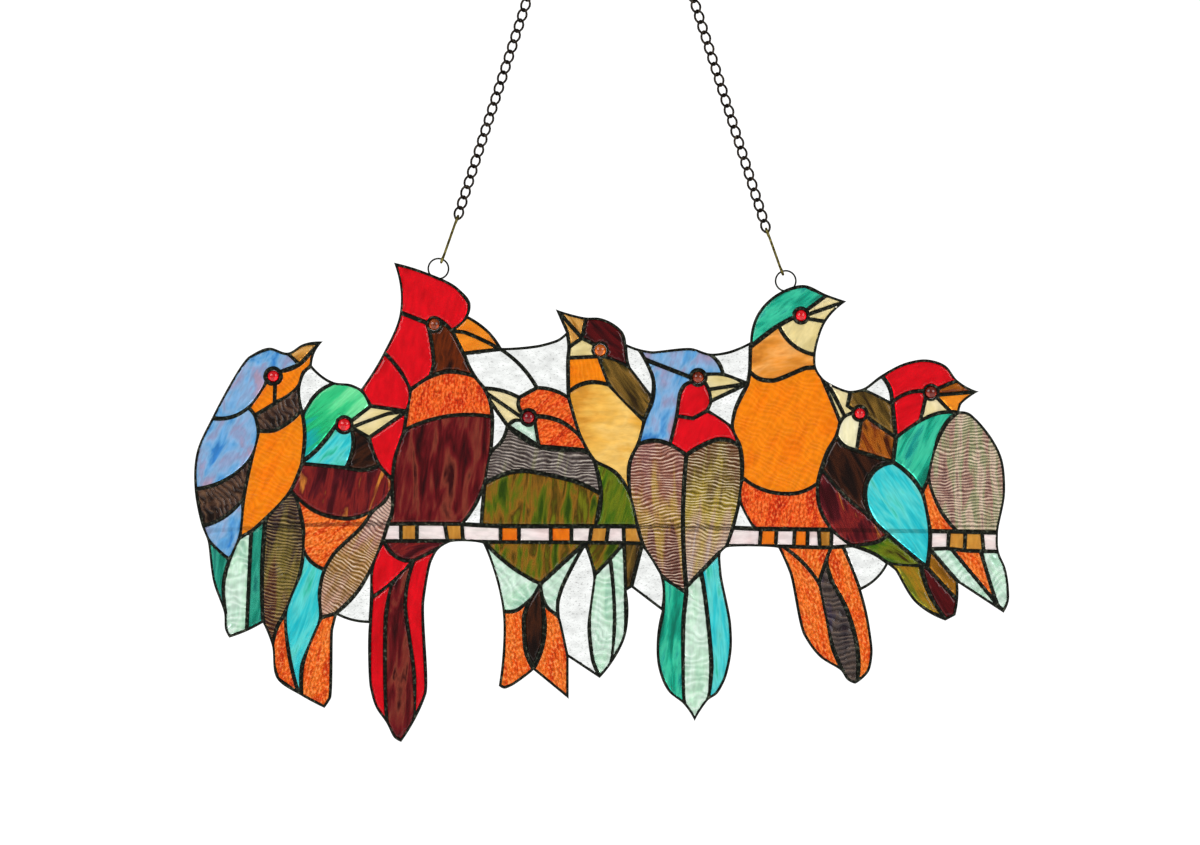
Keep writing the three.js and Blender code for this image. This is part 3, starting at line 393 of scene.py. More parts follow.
# Where each glass lies: its name, the angle of its grain above level, and a place on the drawing in each
# of its panes. The other panes are clear.
PANES = """
sky|62|250,380 220,455 222,535
brown ripple|25|275,422
brown ripple|28|220,500
orange ripple|50|262,403 290,380
tan|30|303,352
orange|60|280,460
teal|80|219,590 256,580
mint|85|238,590
emerald|40|330,400
turquoise|50|335,450
dark|30|362,450
cream|10|372,414 372,428
burgundy amber|80|340,495
iridescent brown|80|285,560
orange hammered|30|325,540
iridescent tan|58|355,560
orange hammered|75|279,650 318,660
turquoise|70|303,600
red|80|430,295 412,345 387,380 393,440 388,575 378,650 418,620
chestnut|80|442,345
amber|0|480,332 478,346
flame|85|440,395
burgundy|85|440,470 400,640
burgundy amber|20|410,550
flame|40|550,400 560,435
mint|40|522,430 508,590 556,585
cream|150|505,397 503,412
iridescent grey|82|540,460
olive|85|540,500 530,555
orange hammered|100|513,640 555,650
dark|90|534,640
tan|120|577,322 570,335
maroon|140|605,335
cream|0|580,348
orange|0|585,370
olive brown|125|630,390
amber opal|0|600,430
green olive|75|612,500
olive|60|603,553
mint|80|600,620 619,610
olive brown|80|632,565
sky|75|680,362 665,400
red|60|693,400 695,430
cream|170|722,381 718,392
iridescent pink|93|655,490
iridescent olive|84|710,490
deep teal|85|673,640
mint|88|697,650
turquoise|95|717,620
deep teal|35|780,310
cream|60|805,335
cream|15|825,302 826,312
honey|10|780,360
orange|65|790,430
flame|85|780,510
orange hammered|85|810,555
orange hammered|105|805,610 862,640
grey ripple|88|838,630
cream|135|840,397 834,402
olive brown|120|870,402
tawny|110|875,440
ivory|90|848,432
dark|115|845,480
burgundy amber|110|850,520
turquoise|125|900,500
green olive|150|880,550
olive amber|120|913,578
maroon|125|940,597
ochre|125|942,572
red|30|920,375 908,410
tawny|10|955,388
amber|170|955,398
cream|100|932,407
deep teal|60|915,440
orange hammered|110|935,515
iridescent|90|970,480
mint|130|960,570 998,580
orange hammered|125|978,565
tile white|0|393,533 431,533 481,534 535,534 581,534 616,534 745,537 785,538 813,538 838,538
tile white|0|940,541 990,542
tile amber|90|409,533 453,533 600,534 632,534 825,538 957,541 973,541
tile orange|90|510,534 561,534 768,537 801,538
"""


GLASS_IOR = 1.35
NOISE_ROUGHNESS = 0.55
BUMP_STRENGTH = 0.6
BUMP_PER_DEPTH = 1.5
WISPS = ("c4c4c4", "ffffff")  # fine streaks that multiply the colour
WISP_SHARE = 0.5
# Heights of the relief, from 0 to 1, between which the painted shade of the hollows lifts and the painted
# highlight of the crests comes in
SHADED_HOLLOW, CLEAR_SHADED_HOLLOW, SHADE_LIFT_SPAN = 0.38, 0.3, 0.14
DIMPLE_HIGHLIGHT = (0.52, 0.66)
RIPPLE_PAINTED_SHADE = (0.0, 0.7)
RIPPLE_HIGHLIGHT = (0.72, 1.0)
HIGHLIGHT_PATCHES = (5, 9)  # size of the patches that a ripple's painted highlight lines fade out in
HIGHLIGHT_PATCH_LEVEL = 0.25  # what is left of the painted highlight lines there
HIGHLIGHT_PATCH_EDGE = (0.4, 0.6)
DIMPLE_LENGTH = 1.7  # of a dimple's colour, in pitches


def glass_material(name):
    """Glass whose streaks run along the grain, with dimples, ripples or a slow swell on its surface, and
    with painted shade in the relief's hollows and painted highlight lines on its crests where its kind asks
    for them.
    """
    kind_name, colors, drift, line = GLASSES[name]
    kind = KINDS[kind_name]
    material, tree, shader = material_tree(
        name.replace(" ", "_") + "_glass",
        Roughness=kind.rough, IOR=GLASS_IOR, Transmission_Weight=kind.light)
    uv = node(tree, "UVMap", uv_map="grain").outputs["UV"]

    def clouds(long, wide, detail, twist=0.0):
        """Noise with patches of a length along the grain and a width across it."""
        scale = (CM / long, CM / wide, 1)
        at = node(tree, "Mapping", {"Vector": uv, "Scale": scale}).outputs["Vector"]
        return node(tree, "TexNoise", {"Vector": at, "Scale": 1.0, "Detail": detail,
                                       "Roughness": NOISE_ROUGHNESS, "Distortion": twist}).outputs["Fac"]

    def mix(blend, factor, a, b):
        """Two colours mixed."""
        made = node(tree, "Mix", data_type="RGBA", blend_type=blend)
        for socket, value in zip([s for s in made.inputs if s.enabled], (factor, a, b)):
            if isinstance(value, bpy.types.NodeSocket):
                tree.links.new(value, socket)
            else:
                socket.default_value = value
        return next(s for s in made.outputs if s.enabled)

    def sum_of(operation, *values):
        """A sum worked out on values or sockets."""
        return node(tree, "Math", dict(enumerate(values)), operation=operation).outputs[0]

    streaks = clouds(kind.long, kind.wide, 3, 0.5)
    if drift:
        along = node(tree, "Attribute", attribute_name="along").outputs["Fac"]
        along = sum_of("MULTIPLY_ADD", along, NOISE_SPAN, (drift - NOISE_SPAN) / 2)
        streaks = sum_of("MULTIPLY_ADD", streaks, 1 - drift, along)
    tint = ramp(tree, streaks, colors.split())
    wisps = ramp(tree, clouds(kind.long / 3, kind.wide / 5, 3, 0.3), WISPS)
    tint = mix("MULTIPLY", WISP_SHARE, tint, wisps)
    if kind.form == "ripples":
        phase = node(tree, "Attribute", attribute_name="phase").outputs["Fac"]
        wave = sum_of("SINE", sum_of("MULTIPLY", phase, 2 * math.pi), 0.0)
        height = sum_of("MULTIPLY_ADD", wave, 0.5, 0.5)
    elif kind.form == "dimples":
        height = clouds(DIMPLE_LENGTH * kind.pitch, kind.pitch, 2)
    else:
        height = clouds(kind.pitch, kind.pitch, 1)
    # Painted light from the relief: shade that darkens the colour in its hollows, and highlight lines in
    # the glass's line colour on its crests, fading out in patches
    if kind.form == "ripples":
        shade = ramp(tree, height, (grey(1 - kind.dark), "ffffff"), RIPPLE_PAINTED_SHADE)
        crest_highlight = ramp(tree, height, ("000000", "ffffff"), RIPPLE_HIGHLIGHT)
        highlight_patches = ramp(tree, clouds(*HIGHLIGHT_PATCHES, 2), (grey(HIGHLIGHT_PATCH_LEVEL), "ffffff"), HIGHLIGHT_PATCH_EDGE)
        crest_highlight = mix("MULTIPLY", 1.0, crest_highlight, highlight_patches)
    else:
        low = CLEAR_SHADED_HOLLOW if name == "clear" else SHADED_HOLLOW
        shade = ramp(tree, height, (grey(1 - kind.dark), "ffffff"), (low, low + SHADE_LIFT_SPAN))
        crest_highlight = ramp(tree, height, ("000000", "ffffff"), DIMPLE_HIGHLIGHT)
    # Painted shade: the colour is darkened in the relief's hollows
    if kind.dark:
        tint = mix("MULTIPLY", 1.0, tint, shade)
    # Painted highlight: the crests are mixed towards the line colour
    if kind.line:
        tint = mix("MIX", sum_of("MULTIPLY", crest_highlight, kind.line), tint, color(line))
    tree.links.new(tint, shader.inputs["Base Color"])
    bump = node(tree, "Bump", {"Height": height, "Strength": BUMP_STRENGTH,
                               "Distance": BUMP_PER_DEPTH * kind.depth * MM})
    tree.links.new(bump.outputs["Normal"], shader.inputs["Normal"])
    return material


METAL_EDGE = (0.35, 0.35, 0.33, 1)  # the colour of its reflections at grazing angles
SPECKLES_PER_METRE = 400
SPECKLE_ROUGHNESS = 0.65
PATINA_STRENGTH = 0.3
PATINA_DEPTH = 0.2


def metal_material(name, colors, rough, metallic):
    """Dull metal with a speckled patina, whose lightest specks are partly painted highlights for glints off
    its rough surface.
    """
    material, tree, shader = material_tree(
        name, Metallic=metallic, Roughness=rough, Specular_Tint=METAL_EDGE)
    spot = node(tree, "TexCoord").outputs["Object"]
    speckle = node(tree, "TexNoise", {"Vector": spot, "Scale": SPECKLES_PER_METRE, "Detail": 5,
                                      "Roughness": SPECKLE_ROUGHNESS}).outputs["Fac"]
    # The speckled colour is partly patina and partly painted highlight: its lightest specks stand in for
    # glints
    tree.links.new(ramp(tree, speckle, colors.split()), shader.inputs["Base Color"])
    bump = node(tree, "Bump", {"Height": speckle, "Strength": PATINA_STRENGTH,
                               "Distance": PATINA_DEPTH * MM})
    tree.links.new(bump.outputs["Normal"], shader.inputs["Normal"])
    return material


# The last colour of each row is the lightest speck, partly a painted highlight
LEAD = metal_material("blackened_solder", "060705 0e100c 1c1f18 54584a", 0.4, 0.6)
CHAIN = metal_material("gun_metal", "0c0907 1c1713 332b24 5a5042", 0.36, 0.8)
BRASS = metal_material("drawn_brass", "2a2410 4c4420 6c6330 9c9050", 0.34, 0.85)

# The lead net's outlines: the rim, the eyes and the other panes
EYE_SIDES = 28
loops = front_loops("leading")
rim = max(loops, key=lambda loop: abs(area(loop)))
rim_curve = smooth(rim, RIM_CORNER_TURN)
eyes = {n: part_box(n) for n in frame["nodes"] if n.endswith("_eye")}
windows = []
eye_windows = set()
for loop in loops:
    if loop is rim:
        continue
    middle = (loop.min(axis=0) + loop.max(axis=0)) / 2 * MM
    eye = next((n for n, (low, high) in eyes.items()
                if low[0] < middle[0] < high[0] and low[2] < middle[1] < high[2]), None)
    if eye is None:
        windows.append(smooth(loop, CORNER_TURN))
        continue
    radius = math.sqrt(abs(area(loop)) / math.pi)
    sweep = -np.linspace(0, 2 * math.pi, EYE_SIDES, endpoint=False)
    eye_windows.add(len(windows))
    windows.append(middle / MM + radius * np.stack([np.cos(sweep), np.sin(sweep)], axis=1))


def keep_apart():
    """Draws panes' edges back where smoothing has brought them too near to each other or to the rim."""
    for _ in range(2):
        rim_points = tree_of(rim_curve)
        drawn = []
        for k, outline in enumerate(windows):
            others = tree_of(np.concatenate([w for j, w in enumerate(windows) if j != k]))
            inwards = -normals(outline)
            steps = [max(LEAST_LEAD - rim_points.find((p[0], p[1], 0))[2],
                         0.5 * (LEAST_LEAD - others.find((p[0], p[1], 0))[2]), 0) for p in outline]
            drawn.append(outline + inwards * np.array(steps)[:, None] * (k not in eye_windows))
        windows[:] = drawn


keep_apart()


def lead_net():
    """The whole net as one closed mesh: rounded beads of solder on both sides, full at the joints."""
    outlines = [rim_curve] + windows
    edge_points = np.concatenate(outlines)
    edges = tree_of(edge_points)
    points = list(edge_points)
    taken = set()
    spacing = 0.5 * EDGE_STEP
    for row in BEAD_ROWS:
        for outline in outlines:
            inwards = outline + normals(outline) * row
            for p in inwards:
                if edges.find((p[0], p[1], 0))[2] < ROW_SLACK * row:
                    continue
                cell = (round(p[0] / spacing), round(p[1] / spacing))
                around = [(cell[0] + i, cell[1] + j) for i in (-1, 0, 1) for j in (-1, 0, 1)]
                if any(c in taken for c in around):
                    continue
                taken.add(cell)
                points.append(p)
    starts = np.cumsum([0] + [len(o) for o in outlines])
    numbered = [list(range(a, b)) for a, b in zip(starts, starts[1:])]
    places, faces, first = triangulate(points, numbered)
    middles = places[faces].mean(axis=1)
    metal = within(middles, rim_curve)
    for outline in windows:
        metal &= ~within(middles, outline)
    faces = faces[metal]
    rim_tree = tree_of(rim_curve)
    fronts, backs = [], []
    for k, (x, z) in enumerate(places):
        edge = 0 if 0 <= first[k] < starts[-1] else edges.find((x, z, 0))[2]
        outer = 0 if 0 <= first[k] < starts[1] else rim_tree.find((x, z, 0))[2]
        share = min(edge / BEAD_WIDTH, 1)
        bead = (LEAD_HALF - GLASS_HALF) * math.sqrt(1 - (1 - share) ** 2)
        bead += JOINT_SLOPE * min(max(edge - BEAD_WIDTH, 0), JOINT_REACH)
        base = (GLASS_HALF - RIM_FLAT) * math.sqrt(1 - (1 - min(outer / RIM_ROUND, 1)) ** 2)
        lumps = [LUMP_HEIGHT * share * noise.noise((x * LUMPS_PER_MM, z * LUMPS_PER_MM, side))
                 for side in LUMP_SEEDS]
        fronts.append((x, -base - bead - lumps[0], z))
        backs.append((x, base + bead + lumps[1], z))
    count = len(places)
    back = [k if 0 <= first[k] < starts[1] else k + count for k in range(count)]
    shape = [tuple(f) for f in faces.tolist()]
    sides = {pair for a, b, c in shape for pair in ((a, b), (b, c), (c, a))}
    walls = [(b, a, back[a], back[b]) for a, b in sides if (b, a) not in sides and back[a] != a]
    shape += [(back[c], back[b], back[a]) for a, b, c in shape] + walls
    used = sorted({k for f in shape for k in f})
    renumber = {k: n for n, k in enumerate(used)}
    both = fronts + backs
    vertices = [both[k] for k in used]
    shape = [[renumber[k] for k in f] for f in shape]
    attach(build("lead_net", vertices, shape, [LEAD]), "leading", "leading")


# Panes of glass
PANE_STEPS = {"swell": 2.0, "dimples": 1.1, "ripples": 0.95}  # between points on a pane's face
ROW_SHARE = 0.866  # of that step, between the rows of the points
EDGE_CLEAR = 0.6  # of that step, between the points and the pane's edge
BACK_RELIEF = 0.4  # share of the front's relief that the back has
DIMPLE_SIZE = 1.4  # in pitches
RIPPLE_SWELL = (12, 0.4)  # size of the slow swell under the ripples, and its share of their depth
DIMPLE_SWELL = (9, 0.6)  # the same under the dimples
IN_FRONT = -0.1  # metres, a place before the whole panel
WARPS = ((24, 1.5, 0), (9, 0.75, 5), (3.5, 0.2, 11))  # ripples: size, shift in ripples, and seed
GRAIN_SHIFT = (3.7, 5.3)  # from one pane to the next, so that they don't share their streaks


def cloud(points, size, seed):
    """Slow random values from about -1 to 1 at points."""
    return np.array([noise.noise((x / size, z / size, seed)) for x, z in points])


def pane(outline, look, angle, seed):
    """The vertices, faces and grain of one pane, whose edge is tucked under the lead."""
    kind = KINDS[GLASSES[look][0]]
    step = PANE_STEPS[kind.form]
    edge = outline + normals(outline) * TUCK
    low, high = edge.min(axis=0), edge.max(axis=0)
    across = np.arange(low[0], high[0], step)
    rows = np.arange(low[1], high[1], step * ROW_SHARE)
    grid = np.array([(x + (k % 2) * step / 2, z) for k, z in enumerate(rows) for x in across])
    grid = grid[within(grid, outline)]
    near = tree_of(edge)
    inner = [p for p in grid if near.find((p[0], p[1], 0))[2] > EDGE_CLEAR * step]
    places, faces, _ = triangulate(list(edge) + inner, [list(range(len(edge)))])
    faces = faces[within(places[faces].mean(axis=1), edge)]
    turn = math.radians(angle)
    along = places @ (math.cos(turn), math.sin(turn))
    over = places @ (-math.sin(turn), math.cos(turn))
    phase = along / kind.pitch
    for size, shift, offset in WARPS:
        phase = phase + shift * cloud(places, size, seed + offset)
    if kind.form == "ripples":
        size, share = RIPPLE_SWELL
        lift = kind.depth * (0.5 * np.sin(2 * math.pi * phase) + share * cloud(places, size, seed + 9))
    elif kind.form == "dimples":
        size, share = DIMPLE_SWELL
        dimples = cloud(places, DIMPLE_SIZE * kind.pitch, seed)
        lift = kind.depth * (dimples + share * cloud(places, size, seed + 5))
    else:
        lift = kind.depth * cloud(places, kind.pitch, seed)
    count = len(places)
    vertices = [(x, -GLASS_HALF - h, z) for (x, z), h in zip(places, lift)]
    vertices += [(x, GLASS_HALF + BACK_RELIEF * h, z) for (x, z), h in zip(places, lift)]
    fronts = [tuple(f) for f in faces.tolist()]
    sides = {pair for a, b, c in fronts for pair in ((a, b), (b, c), (c, a))}
    walls = [(b, a, a + count, b + count) for a, b in sides if (b, a) not in sides]
    shape = fronts + [(c + count, b + count, a + count) for a, b, c in fronts] + walls
    passed = (along - along.min()) / (along.max() - along.min())
    texture = (along / CM + GRAIN_SHIFT[0] * seed, over / CM + GRAIN_SHIFT[1] * seed)
    grain = np.stack([*texture, phase, passed], axis=1)
    middles = places[faces].mean(axis=1)
    deepest = max(middles, key=lambda p: near.find((p[0], p[1], 0))[2])
    return vertices, shape, np.concatenate([grain, grain]), deepest


def pane_looks():
    """The glass and the angle of the panes that PANES names."""
    looks = {}
    for row in PANES.strip().split("\n"):
        look, angle, spots = row.split("|")
        for spot in spots.split():
            at = place(*map(float, spot.split(",")))[None]
            found = [k for k, w in enumerate(windows) if within(at, w)[0]]
            if not found:
                raise ValueError(f"no pane at {spot}")
            looks[found[0]] = (look, float(angle))
    return looks


def glass_panes():
    """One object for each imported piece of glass, with the panes that it stands for."""
    looks = pane_looks()
    slots = {p["node"]: p["material_slot"] for p in frame["record"]["subparts"]}
    names = [n for n, slot in slots.items() if slot.endswith("_glass")]
    solids = {}
    for name in names:
        mesh = frame["nodes"][name].data
        vertices = [v.co.copy() for v in mesh.vertices]
        solids[name] = BVHTree.FromPolygons(vertices, [tuple(p.vertices) for p in mesh.polygons])
    groups = {name: [] for name in names}
    for k, outline in enumerate(windows):
        if k in eye_windows:
            continue
        look, angle = looks.get(k, ("clear", 0))
        made = pane(outline, look, angle, k)
        x, z = made[3] * MM
        start, ahead = Vector((x, IN_FRONT, z)), Vector((0, 1, 0))
        owner = next((n for n in names if solids[n].ray_cast(start, ahead)[0]), None)
        if owner is None or (k not in looks and not owner.startswith("clear")):
            spot = [round(c) for c in (made[3] - place(0, 0)) / (SQUARE, -SQUARE)]
            raise ValueError(f"no glass for the pane of {owner} at {spot}")
        groups[owner].append((look, made))
    materials = {}
    for name, panes in groups.items():
        if not panes:
            raise ValueError(f"no pane for {name}")
        used = sorted({look for look, _ in panes})
        for look in used:
            materials.setdefault(look, glass_material(look))
        vertices, shape, picks, grain = [], [], [], []
        for look, (places, faces, coordinates, _) in panes:
            start = len(vertices)
            vertices += places
            shape += [tuple(v + start for v in f) for f in faces]
            picks += [used.index(look)] * len(faces)
            grain.append(coordinates)
        slot_materials = [materials[look] for look in used]
        piece = build(name + "_glass", vertices, shape, slot_materials, picks, np.concatenate(grain))
        attach(piece, slots[name], name)


# Eye jewels: domed in front and flatter behind
JEWELS = {
    "bluebird": "c00410 e01420", "green_bird": "c00410 e01420", "cardinal": "5c1c06 a84818",
    "orange_bird": "6c040c 9c0c18", "maroon_bird": "94380a cc6818", "crested_bird": "541404 9c3810",
    "teal_bird": "c80410 e81824", "brown_bird": "c80410 e81824", "red_bird": "4c0c04 842410",
}
JEWEL_CLOUDS_PER_METRE = 260


def globe_faces(rings, sides):
    """The faces of a ball: a point at each end and rings of points between."""
    faces = [(0, 1 + k, 1 + (k + 1) % sides) for k in range(sides)]
    for ring in range(rings - 1):
        a, b = 1 + ring * sides, 1 + (ring + 1) * sides
        faces += [(a + k, b + k, b + (k + 1) % sides, a + (k + 1) % sides) for k in range(sides)]
    a, last = 1 + (rings - 1) * sides, 1 + rings * sides
    return faces + [(a + k, last, a + (k + 1) % sides) for k in range(sides)]


def jewel(name, colors):
    """An eye of coloured glass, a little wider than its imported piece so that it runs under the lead."""
    low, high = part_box(name + "_eye")
    middle = (low + high) / 2 / MM
    radius = (high.x - low.x) / 2 / MM + JEWEL_TUCK
    front, back = -low.y / MM, high.y / MM
    sides, bands = 32, 7
    vertices = [(middle.x, -front, middle.z)]
    for band in range(1, 2 * bands):
        turn = math.pi * band / (2 * bands)
        depth = math.cos(turn) * (-front if band <= bands else -back)
        out = radius * math.sin(turn)
        for k in range(sides):
            sweep = 2 * math.pi * k / sides
            vertices.append((middle.x + out * math.cos(sweep), depth, middle.z + out * math.sin(sweep)))
    vertices.append((middle.x, back, middle.z))
    material, tree, shader = material_tree(
        name + "_jewel", Roughness=0.05, IOR=1.5, Transmission_Weight=0.6, Coat_Weight=0.15,
        Coat_Roughness=0.03)
    spot = node(tree, "TexCoord").outputs["Object"]
    clouds = {"Vector": spot, "Scale": JEWEL_CLOUDS_PER_METRE, "Detail": 2}
    clouding = node(tree, "TexNoise", clouds).outputs["Fac"]
    tree.links.new(ramp(tree, clouding, colors.split()), shader.inputs["Base Color"])
    piece = build(name + "_jewel", vertices, globe_faces(2 * bands - 1, sides), [material])
    attach(piece, "eye_jewels", name + "_eye")


# Wires
ASLANT = (0.31, 0.94, 0.12)  # no wire starts along this direction
RING_STEPS, RING_SIDES = 64, 12
ARC_STEPS = 9  # along a hook's bend
HOOK_STEP = 0.5
FOOT_START, HEAD_START, BEND = 370, 270, 280  # degrees round a hook's bends, from its shank's direction


def tube(points, radius, sides=14, closed=False):
    """The vertices and faces of round wire along points, in millimetres."""
    points = np.asarray(points, float)
    count = len(points)
    ahead = np.roll(points, -1, axis=0) - points
    behind = points - np.roll(points, 1, axis=0)
    if not closed:
        ahead[-1], behind[0] = behind[-1], ahead[0]
    ahead /= np.linalg.norm(ahead, axis=1)[:, None]
    behind /= np.linalg.norm(behind, axis=1)[:, None]
    heading = ahead + behind
    heading /= np.linalg.norm(heading, axis=1)[:, None]
    side = np.cross(heading[0], ASLANT)
    vertices = []
    for p, h in zip(points, heading):
        side = side - h * np.dot(side, h)
        side /= np.linalg.norm(side)
        up = np.cross(h, side)
        for k in range(sides):
            turn = 2 * math.pi * k / sides
            vertices.append(tuple(p + radius * (side * math.cos(turn) + up * math.sin(turn))))
    faces = []
    for k in range(count if closed else count - 1):
        a, b = k * sides, (k + 1) % count * sides
        faces += [(a + j, a + (j + 1) % sides, b + (j + 1) % sides, b + j) for j in range(sides)]
    if not closed:
        faces.append(tuple(range(sides))[::-1])
        faces.append(tuple(range((count - 1) * sides, count * sides)))
    return vertices, faces


def ring_of(x, y, radius, wire):
    """A wire ring in the plane of the panel, round a place on the drawing."""
    middle = place(x, y)
    sweep = np.linspace(0, 2 * math.pi, RING_STEPS, endpoint=False)
    points = [(middle[0] + radius * math.cos(t), 0, middle[1] + radius * math.sin(t)) for t in sweep]
    return tube(points, wire / 2, RING_SIDES, closed=True)


def lump(x, y, long, deep, tall, tilt):
    """A drop of solder: a rounded lump on a place on the drawing."""
    middle = place(x, y)
    rows, sides = 8, 14
    vertices = [(0, 0, 1)]
    for row in range(1, rows):
        turn = math.pi * row / rows
        for k in range(sides):
            sweep = 2 * math.pi * k / sides
            vertices.append((math.sin(turn) * math.cos(sweep), math.sin(turn) * math.sin(sweep),
                             math.cos(turn)))
    vertices.append((0, 0, -1))
    c, s = math.cos(tilt), math.sin(tilt)
    vertices = [(middle[0] + c * long * u - s * tall * w, deep * v, middle[1] + s * long * u + c * tall * w)
                for u, v, w in vertices]
    return vertices, globe_faces(rows - 1, sides)


def together(name, parts, material):
    """One object of several closed shapes."""
    vertices, faces = [], []
    for places, shape in parts:
        start = len(vertices)
        vertices += list(places)
        faces += [tuple(v + start for v in f) for f in shape]
    return build(name, vertices, faces, [material])


# Hangers: on each side a soldered ring, a bent hook and a chain up to the hanging ring
HANGERS = {
    "left": {"ring": (438.4, 268.7), "low": (442.3, 259.4), "high": (456.8, 219.5),
             "solder": (437.5, 279.2), "tilt": -22},
    "right": {"ring": (785.7, 280.9), "low": (781.9, 271.5), "high": (767.4, 232.4),
              "solder": (785.9, 291.4), "tilt": 3},
}
RING_HOLD = 2.6  # how far the last links reach in past the middle of the hanging ring's wire


def upright(spot):
    """A place on the drawing in the middle plane of the panel, in millimetres."""
    x, z = place(*spot)
    return np.array([x, 0, z])


def hook(side, low, high):
    """A straight shank whose two ends are bent round, edge-on to the viewer."""
    foot, head = upright(low), upright(high)
    shank = (head - foot) / np.linalg.norm(head - foot)

    def bend(middle, radius, start, sweep):
        """Places along an arc from the shank's direction, in degrees."""
        arc = [math.radians(start + sweep * k / ARC_STEPS) for k in range(ARC_STEPS + 1)]
        away = np.array([0, 1, 0])
        return [middle + radius * (shank * math.cos(t) + away * math.sin(t)) for t in arc]

    route = bend(foot, HOOK_FOOT, FOOT_START, -BEND) + bend(head, HOOK_HEAD, HEAD_START, BEND)
    line = np.vstack([curve(np.array(route), False, HOOK_STEP), route[-1]])
    piece = together(side + "_hook_wire", [tube(line, HOOK_WIRE / 2)], BRASS)
    attach(piece, "hooks", side + "_hook")


def chain_tree():
    """A row of links along X, each twisted so that its ends stand across its neighbours' ends."""
    tree = bpy.data.node_groups.new("chain_of_links", "GeometryNodeTree")
    tree.interface.new_socket("Geometry", in_out="OUTPUT", socket_type="NodeSocketGeometry")
    tree.interface.new_socket("Geometry", in_out="INPUT", socket_type="NodeSocketGeometry")
    for name in ("Links", "Pitch", "Half Length", "Half Width", "Wire Radius", "Twist", "Material"):
        kind = {"Links": "Int", "Material": "Material"}.get(name, "Float")
        tree.interface.new_socket(name, in_out="INPUT", socket_type="NodeSocket" + kind)
    add = partial(node, tree)

    def times(a, b):
        """The product of two sockets."""
        return add("Math", {0: a, 1: b}, operation="MULTIPLY").outputs[0]

    given = add("NodeGroupInput").outputs
    circle = "GeometryNodeCurvePrimitiveCircle"
    round_path = add(circle, {"Resolution": LINK_STEPS, "Radius": 1.0}).outputs["Curve"]
    spot = add("SeparateXYZ", {0: add("GeometryNodeInputPosition").outputs[0]}).outputs
    drawn = add("CombineXYZ", {"X": times(spot["X"], given["Half Length"]),
                               "Y": times(spot["Y"], given["Half Width"])}).outputs[0]
    twist = times(spot["X"], given["Twist"])
    twisted = add("VectorRotate", {"Vector": drawn, "Angle": twist}, rotation_type="X_AXIS").outputs[0]
    path = add("GeometryNodeSetPosition", {"Geometry": round_path, "Position": twisted}).outputs[0]
    section = add(circle, {"Resolution": LINK_SIDES, "Radius": given["Wire Radius"]}).outputs["Curve"]
    link = add("GeometryNodeCurveToMesh", {"Curve": path, "Profile Curve": section})
    offset = add("CombineXYZ", {"X": given["Pitch"]}).outputs[0]
    row = add("GeometryNodeMeshLine", {"Count": given["Links"], "Offset": offset})
    links = add("GeometryNodeInstanceOnPoints", {"Points": row.outputs[0], "Instance": link.outputs[0]})
    solid = add("GeometryNodeRealizeInstances", {"Geometry": links.outputs[0]})
    soft = add("GeometryNodeSetShadeSmooth", {"Geometry": solid.outputs[0]})
    finish = add("GeometryNodeSetMaterial", {"Geometry": soft.outputs[0], "Material": given["Material"]})
    add("NodeGroupOutput", {"Geometry": finish.outputs[0]})
    return tree


def chain(side, high, tree):
    """The links from the hook's head up to the hanging ring, as one mesh."""
    reach = (LINK_PITCH + LINK_WIRE) / 2
    head, centre = upright(high), upright((RING_X, RING_Y))
    along = (centre - head) / np.linalg.norm(centre - head)
    first = head + along * reach
    last = centre + along * (RING_HOLD - RING_RADIUS - reach)
    count = round(np.linalg.norm(last - first) / LINK_PITCH)
    pitch = np.linalg.norm(last - first) / count
    maker = build(side + "_chain_maker", [(0, 0, 0)], [], [])
    modifier = maker.modifiers.new("links", "NODES")
    modifier.node_group = tree
    sizes = {"Links": count + 1, "Pitch": pitch * MM, "Half Length": reach * MM,
             "Half Width": (LINK_WIDTH - LINK_WIRE) / 2 * MM, "Wire Radius": LINK_WIRE / 2 * MM,
             "Twist": LINK_TWIST, "Material": CHAIN}
    for item in tree.interface.items_tree:
        if item.name in sizes:
            modifier[item.identifier] = sizes[item.name]
    dg = bpy.context.evaluated_depsgraph_get()
    mesh = bpy.data.meshes.new_from_object(maker.evaluated_get(dg))
    bpy.data.objects.remove(maker)
    x, z = Vector(along), Vector((along[2], 0, -along[0]))
    mesh.transform(Matrix((x, z, x.cross(z))).transposed().to_4x4())
    mesh.transform(Matrix.Translation(Vector(first * MM)))
    piece = bpy.data.objects.new(side + "_chain_links", mesh)
    bpy.context.scene.collection.objects.link(piece)
    attach(piece, "chain", side + "_chain")


def hangers():
    """The soldered rings, the hooks, the chains and the ring that they hang from."""
    tree = chain_tree()
    rings = []
    for side, spots in HANGERS.items():
        rings.append(ring_of(*spots["ring"], SOLDERED_RING_RADIUS, SOLDERED_RING_WIRE))
        rings.append(lump(*spots["solder"], *SOLDER_DROP, math.radians(spots["tilt"])))
        hook(side, spots["low"], spots["high"])
        chain(side, spots["high"], tree)
    attach(together("soldered_rings", rings, LEAD), "leading")
    ring = together("hanging_ring_wire", [ring_of(RING_X, RING_Y, RING_RADIUS, RING_WIRE)], CHAIN)
    attach(ring, "chain", "hanging_ring")


BAR_LINE = [(207, 531), (250, 528.5), (300, 525.5), (390, 524), (500, 525.5), (640, 526.5), (730, 528),
            (830, 530), (928, 531.5), (990, 532)]
BAR_STEP = 6


def back_bar():
    """The bar behind the panel, along the top of the perch."""
    behind = LEAD_HALF + BAR_GAP + BAR_WIRE / 2
    points = np.array([upright(s) + np.array([0, behind, 0]) for s in BAR_LINE])
    line = np.vstack([curve(points, False, BAR_STEP), points[-1]])
    attach(together("back_bar_wire", [tube(line, BAR_WIRE / 2)], LEAD), "bar", "back_bar")


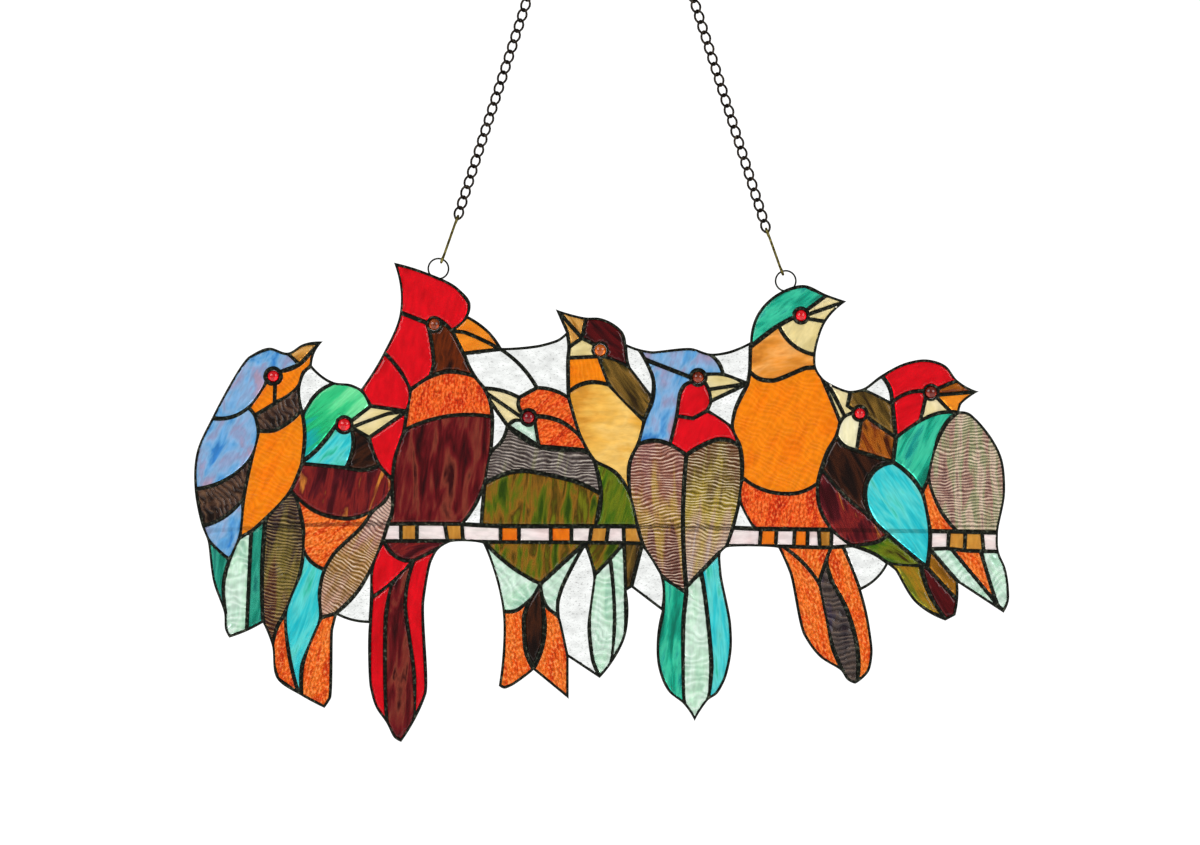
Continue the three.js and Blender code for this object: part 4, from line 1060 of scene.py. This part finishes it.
# The stage, in metres: a pale floor, soft lights and the camera
VIEW_WIDTH = VIEW_SQUARES * SQUARE * MM  # what the camera takes in, at the panel
CAMERA_DISTANCE = 2.6
SENSOR_WIDTH = 36  # millimetres
FLOOR_HALF = 3
FLOOR_LEVEL = -1.3
PAPER = (0.9, 0.9, 0.9, 1)
LIGHTS = {  # place, size and watts
    "front_left": ((-1.6, -2.2, 0.6), 1.6, 34),
    "front_right": ((1.7, -2.0, 0.2), 1.4, 24),
    "back_left": ((-1.6, 2.2, 0.5), 1.6, 40),
    "back_right": ((1.5, 2.2, 0.3), 1.6, 30),
}
SKY = 1.15  # how bright the surroundings are where they are looked at, also through glass
FILL = 0.6  # how bright they are for what they light
SHEEN = 0.25  # how bright they are where they are reflected


def stage():
    """A pale floor, well below the hanging panel."""
    mesh = bpy.data.meshes.new("pale_floor")
    signs = ((-1, -1), (1, -1), (1, 1), (-1, 1))
    mesh.from_pydata([(a * FLOOR_HALF, b * FLOOR_HALF, FLOOR_LEVEL) for a, b in signs], [], [(0, 1, 2, 3)])
    mesh.materials.append(material_tree("pale_paper", Base_Color=PAPER, Roughness=0.9)[0])
    floor = bpy.data.objects.new("pale_floor", mesh)
    bpy.context.scene.collection.objects.link(floor)


def area_light(name, spot, target, size, power):
    """A square light turned to a target."""
    light = bpy.data.lights.new(name, "AREA")
    light.shape = "SQUARE"
    light.size = size
    light.energy = power
    lamp = bpy.data.objects.new(name, light)
    lamp.location = spot
    lamp.rotation_euler = (Vector(target) - Vector(spot)).to_track_quat("-Z", "Y").to_euler()
    bpy.context.scene.collection.objects.link(lamp)


def soft_sky():
    """White surroundings, which are dimmer where they are only reflected or light a surface."""
    world = bpy.data.worlds.new("soft_sky")
    world.use_nodes = True
    tree = world.node_tree
    path = node(tree, "LightPath").outputs

    def blend(factor, low, high):
        """A level between two."""
        return node(tree, "Mix", {0: factor, 2: low, 3: high}).outputs[0]

    rays = {0: path["Is Camera Ray"], 1: path["Is Transmission Ray"]}
    seen = node(tree, "Math", rays, operation="MAXIMUM").outputs[0]
    level = blend(seen, blend(path["Is Glossy Ray"], FILL, SHEEN), SKY)
    background = tree.nodes["Background"].inputs
    background["Color"].default_value = (1, 1, 1, 1)
    tree.links.new(level, background["Strength"])
    bpy.context.scene.world = world


def lights_and_camera():
    """Lights from all sides, and the camera straight in front of the panel."""
    middle_x, middle_z = place(VIEW_X, VIEW_Y) * MM
    for name, (spot, size, power) in LIGHTS.items():
        area_light(name, spot, (middle_x, 0, middle_z), size, power)
    soft_sky()
    bpy.context.scene.view_settings.view_transform = "Standard"
    camera = bpy.data.cameras.new("camera")
    camera.sensor_width = SENSOR_WIDTH
    camera.lens = SENSOR_WIDTH * CAMERA_DISTANCE / VIEW_WIDTH
    eye = bpy.data.objects.new("camera", camera)
    eye.location = (middle_x, -CAMERA_DISTANCE, middle_z)
    eye.rotation_euler = (math.pi / 2, 0, 0)
    bpy.context.scene.collection.objects.link(eye)
    bpy.context.scene.camera = eye


lead_net()
glass_panes()
for bird, colors in JEWELS.items():
    jewel(bird, colors)
hangers()
back_bar()
stage()
lights_and_camera()
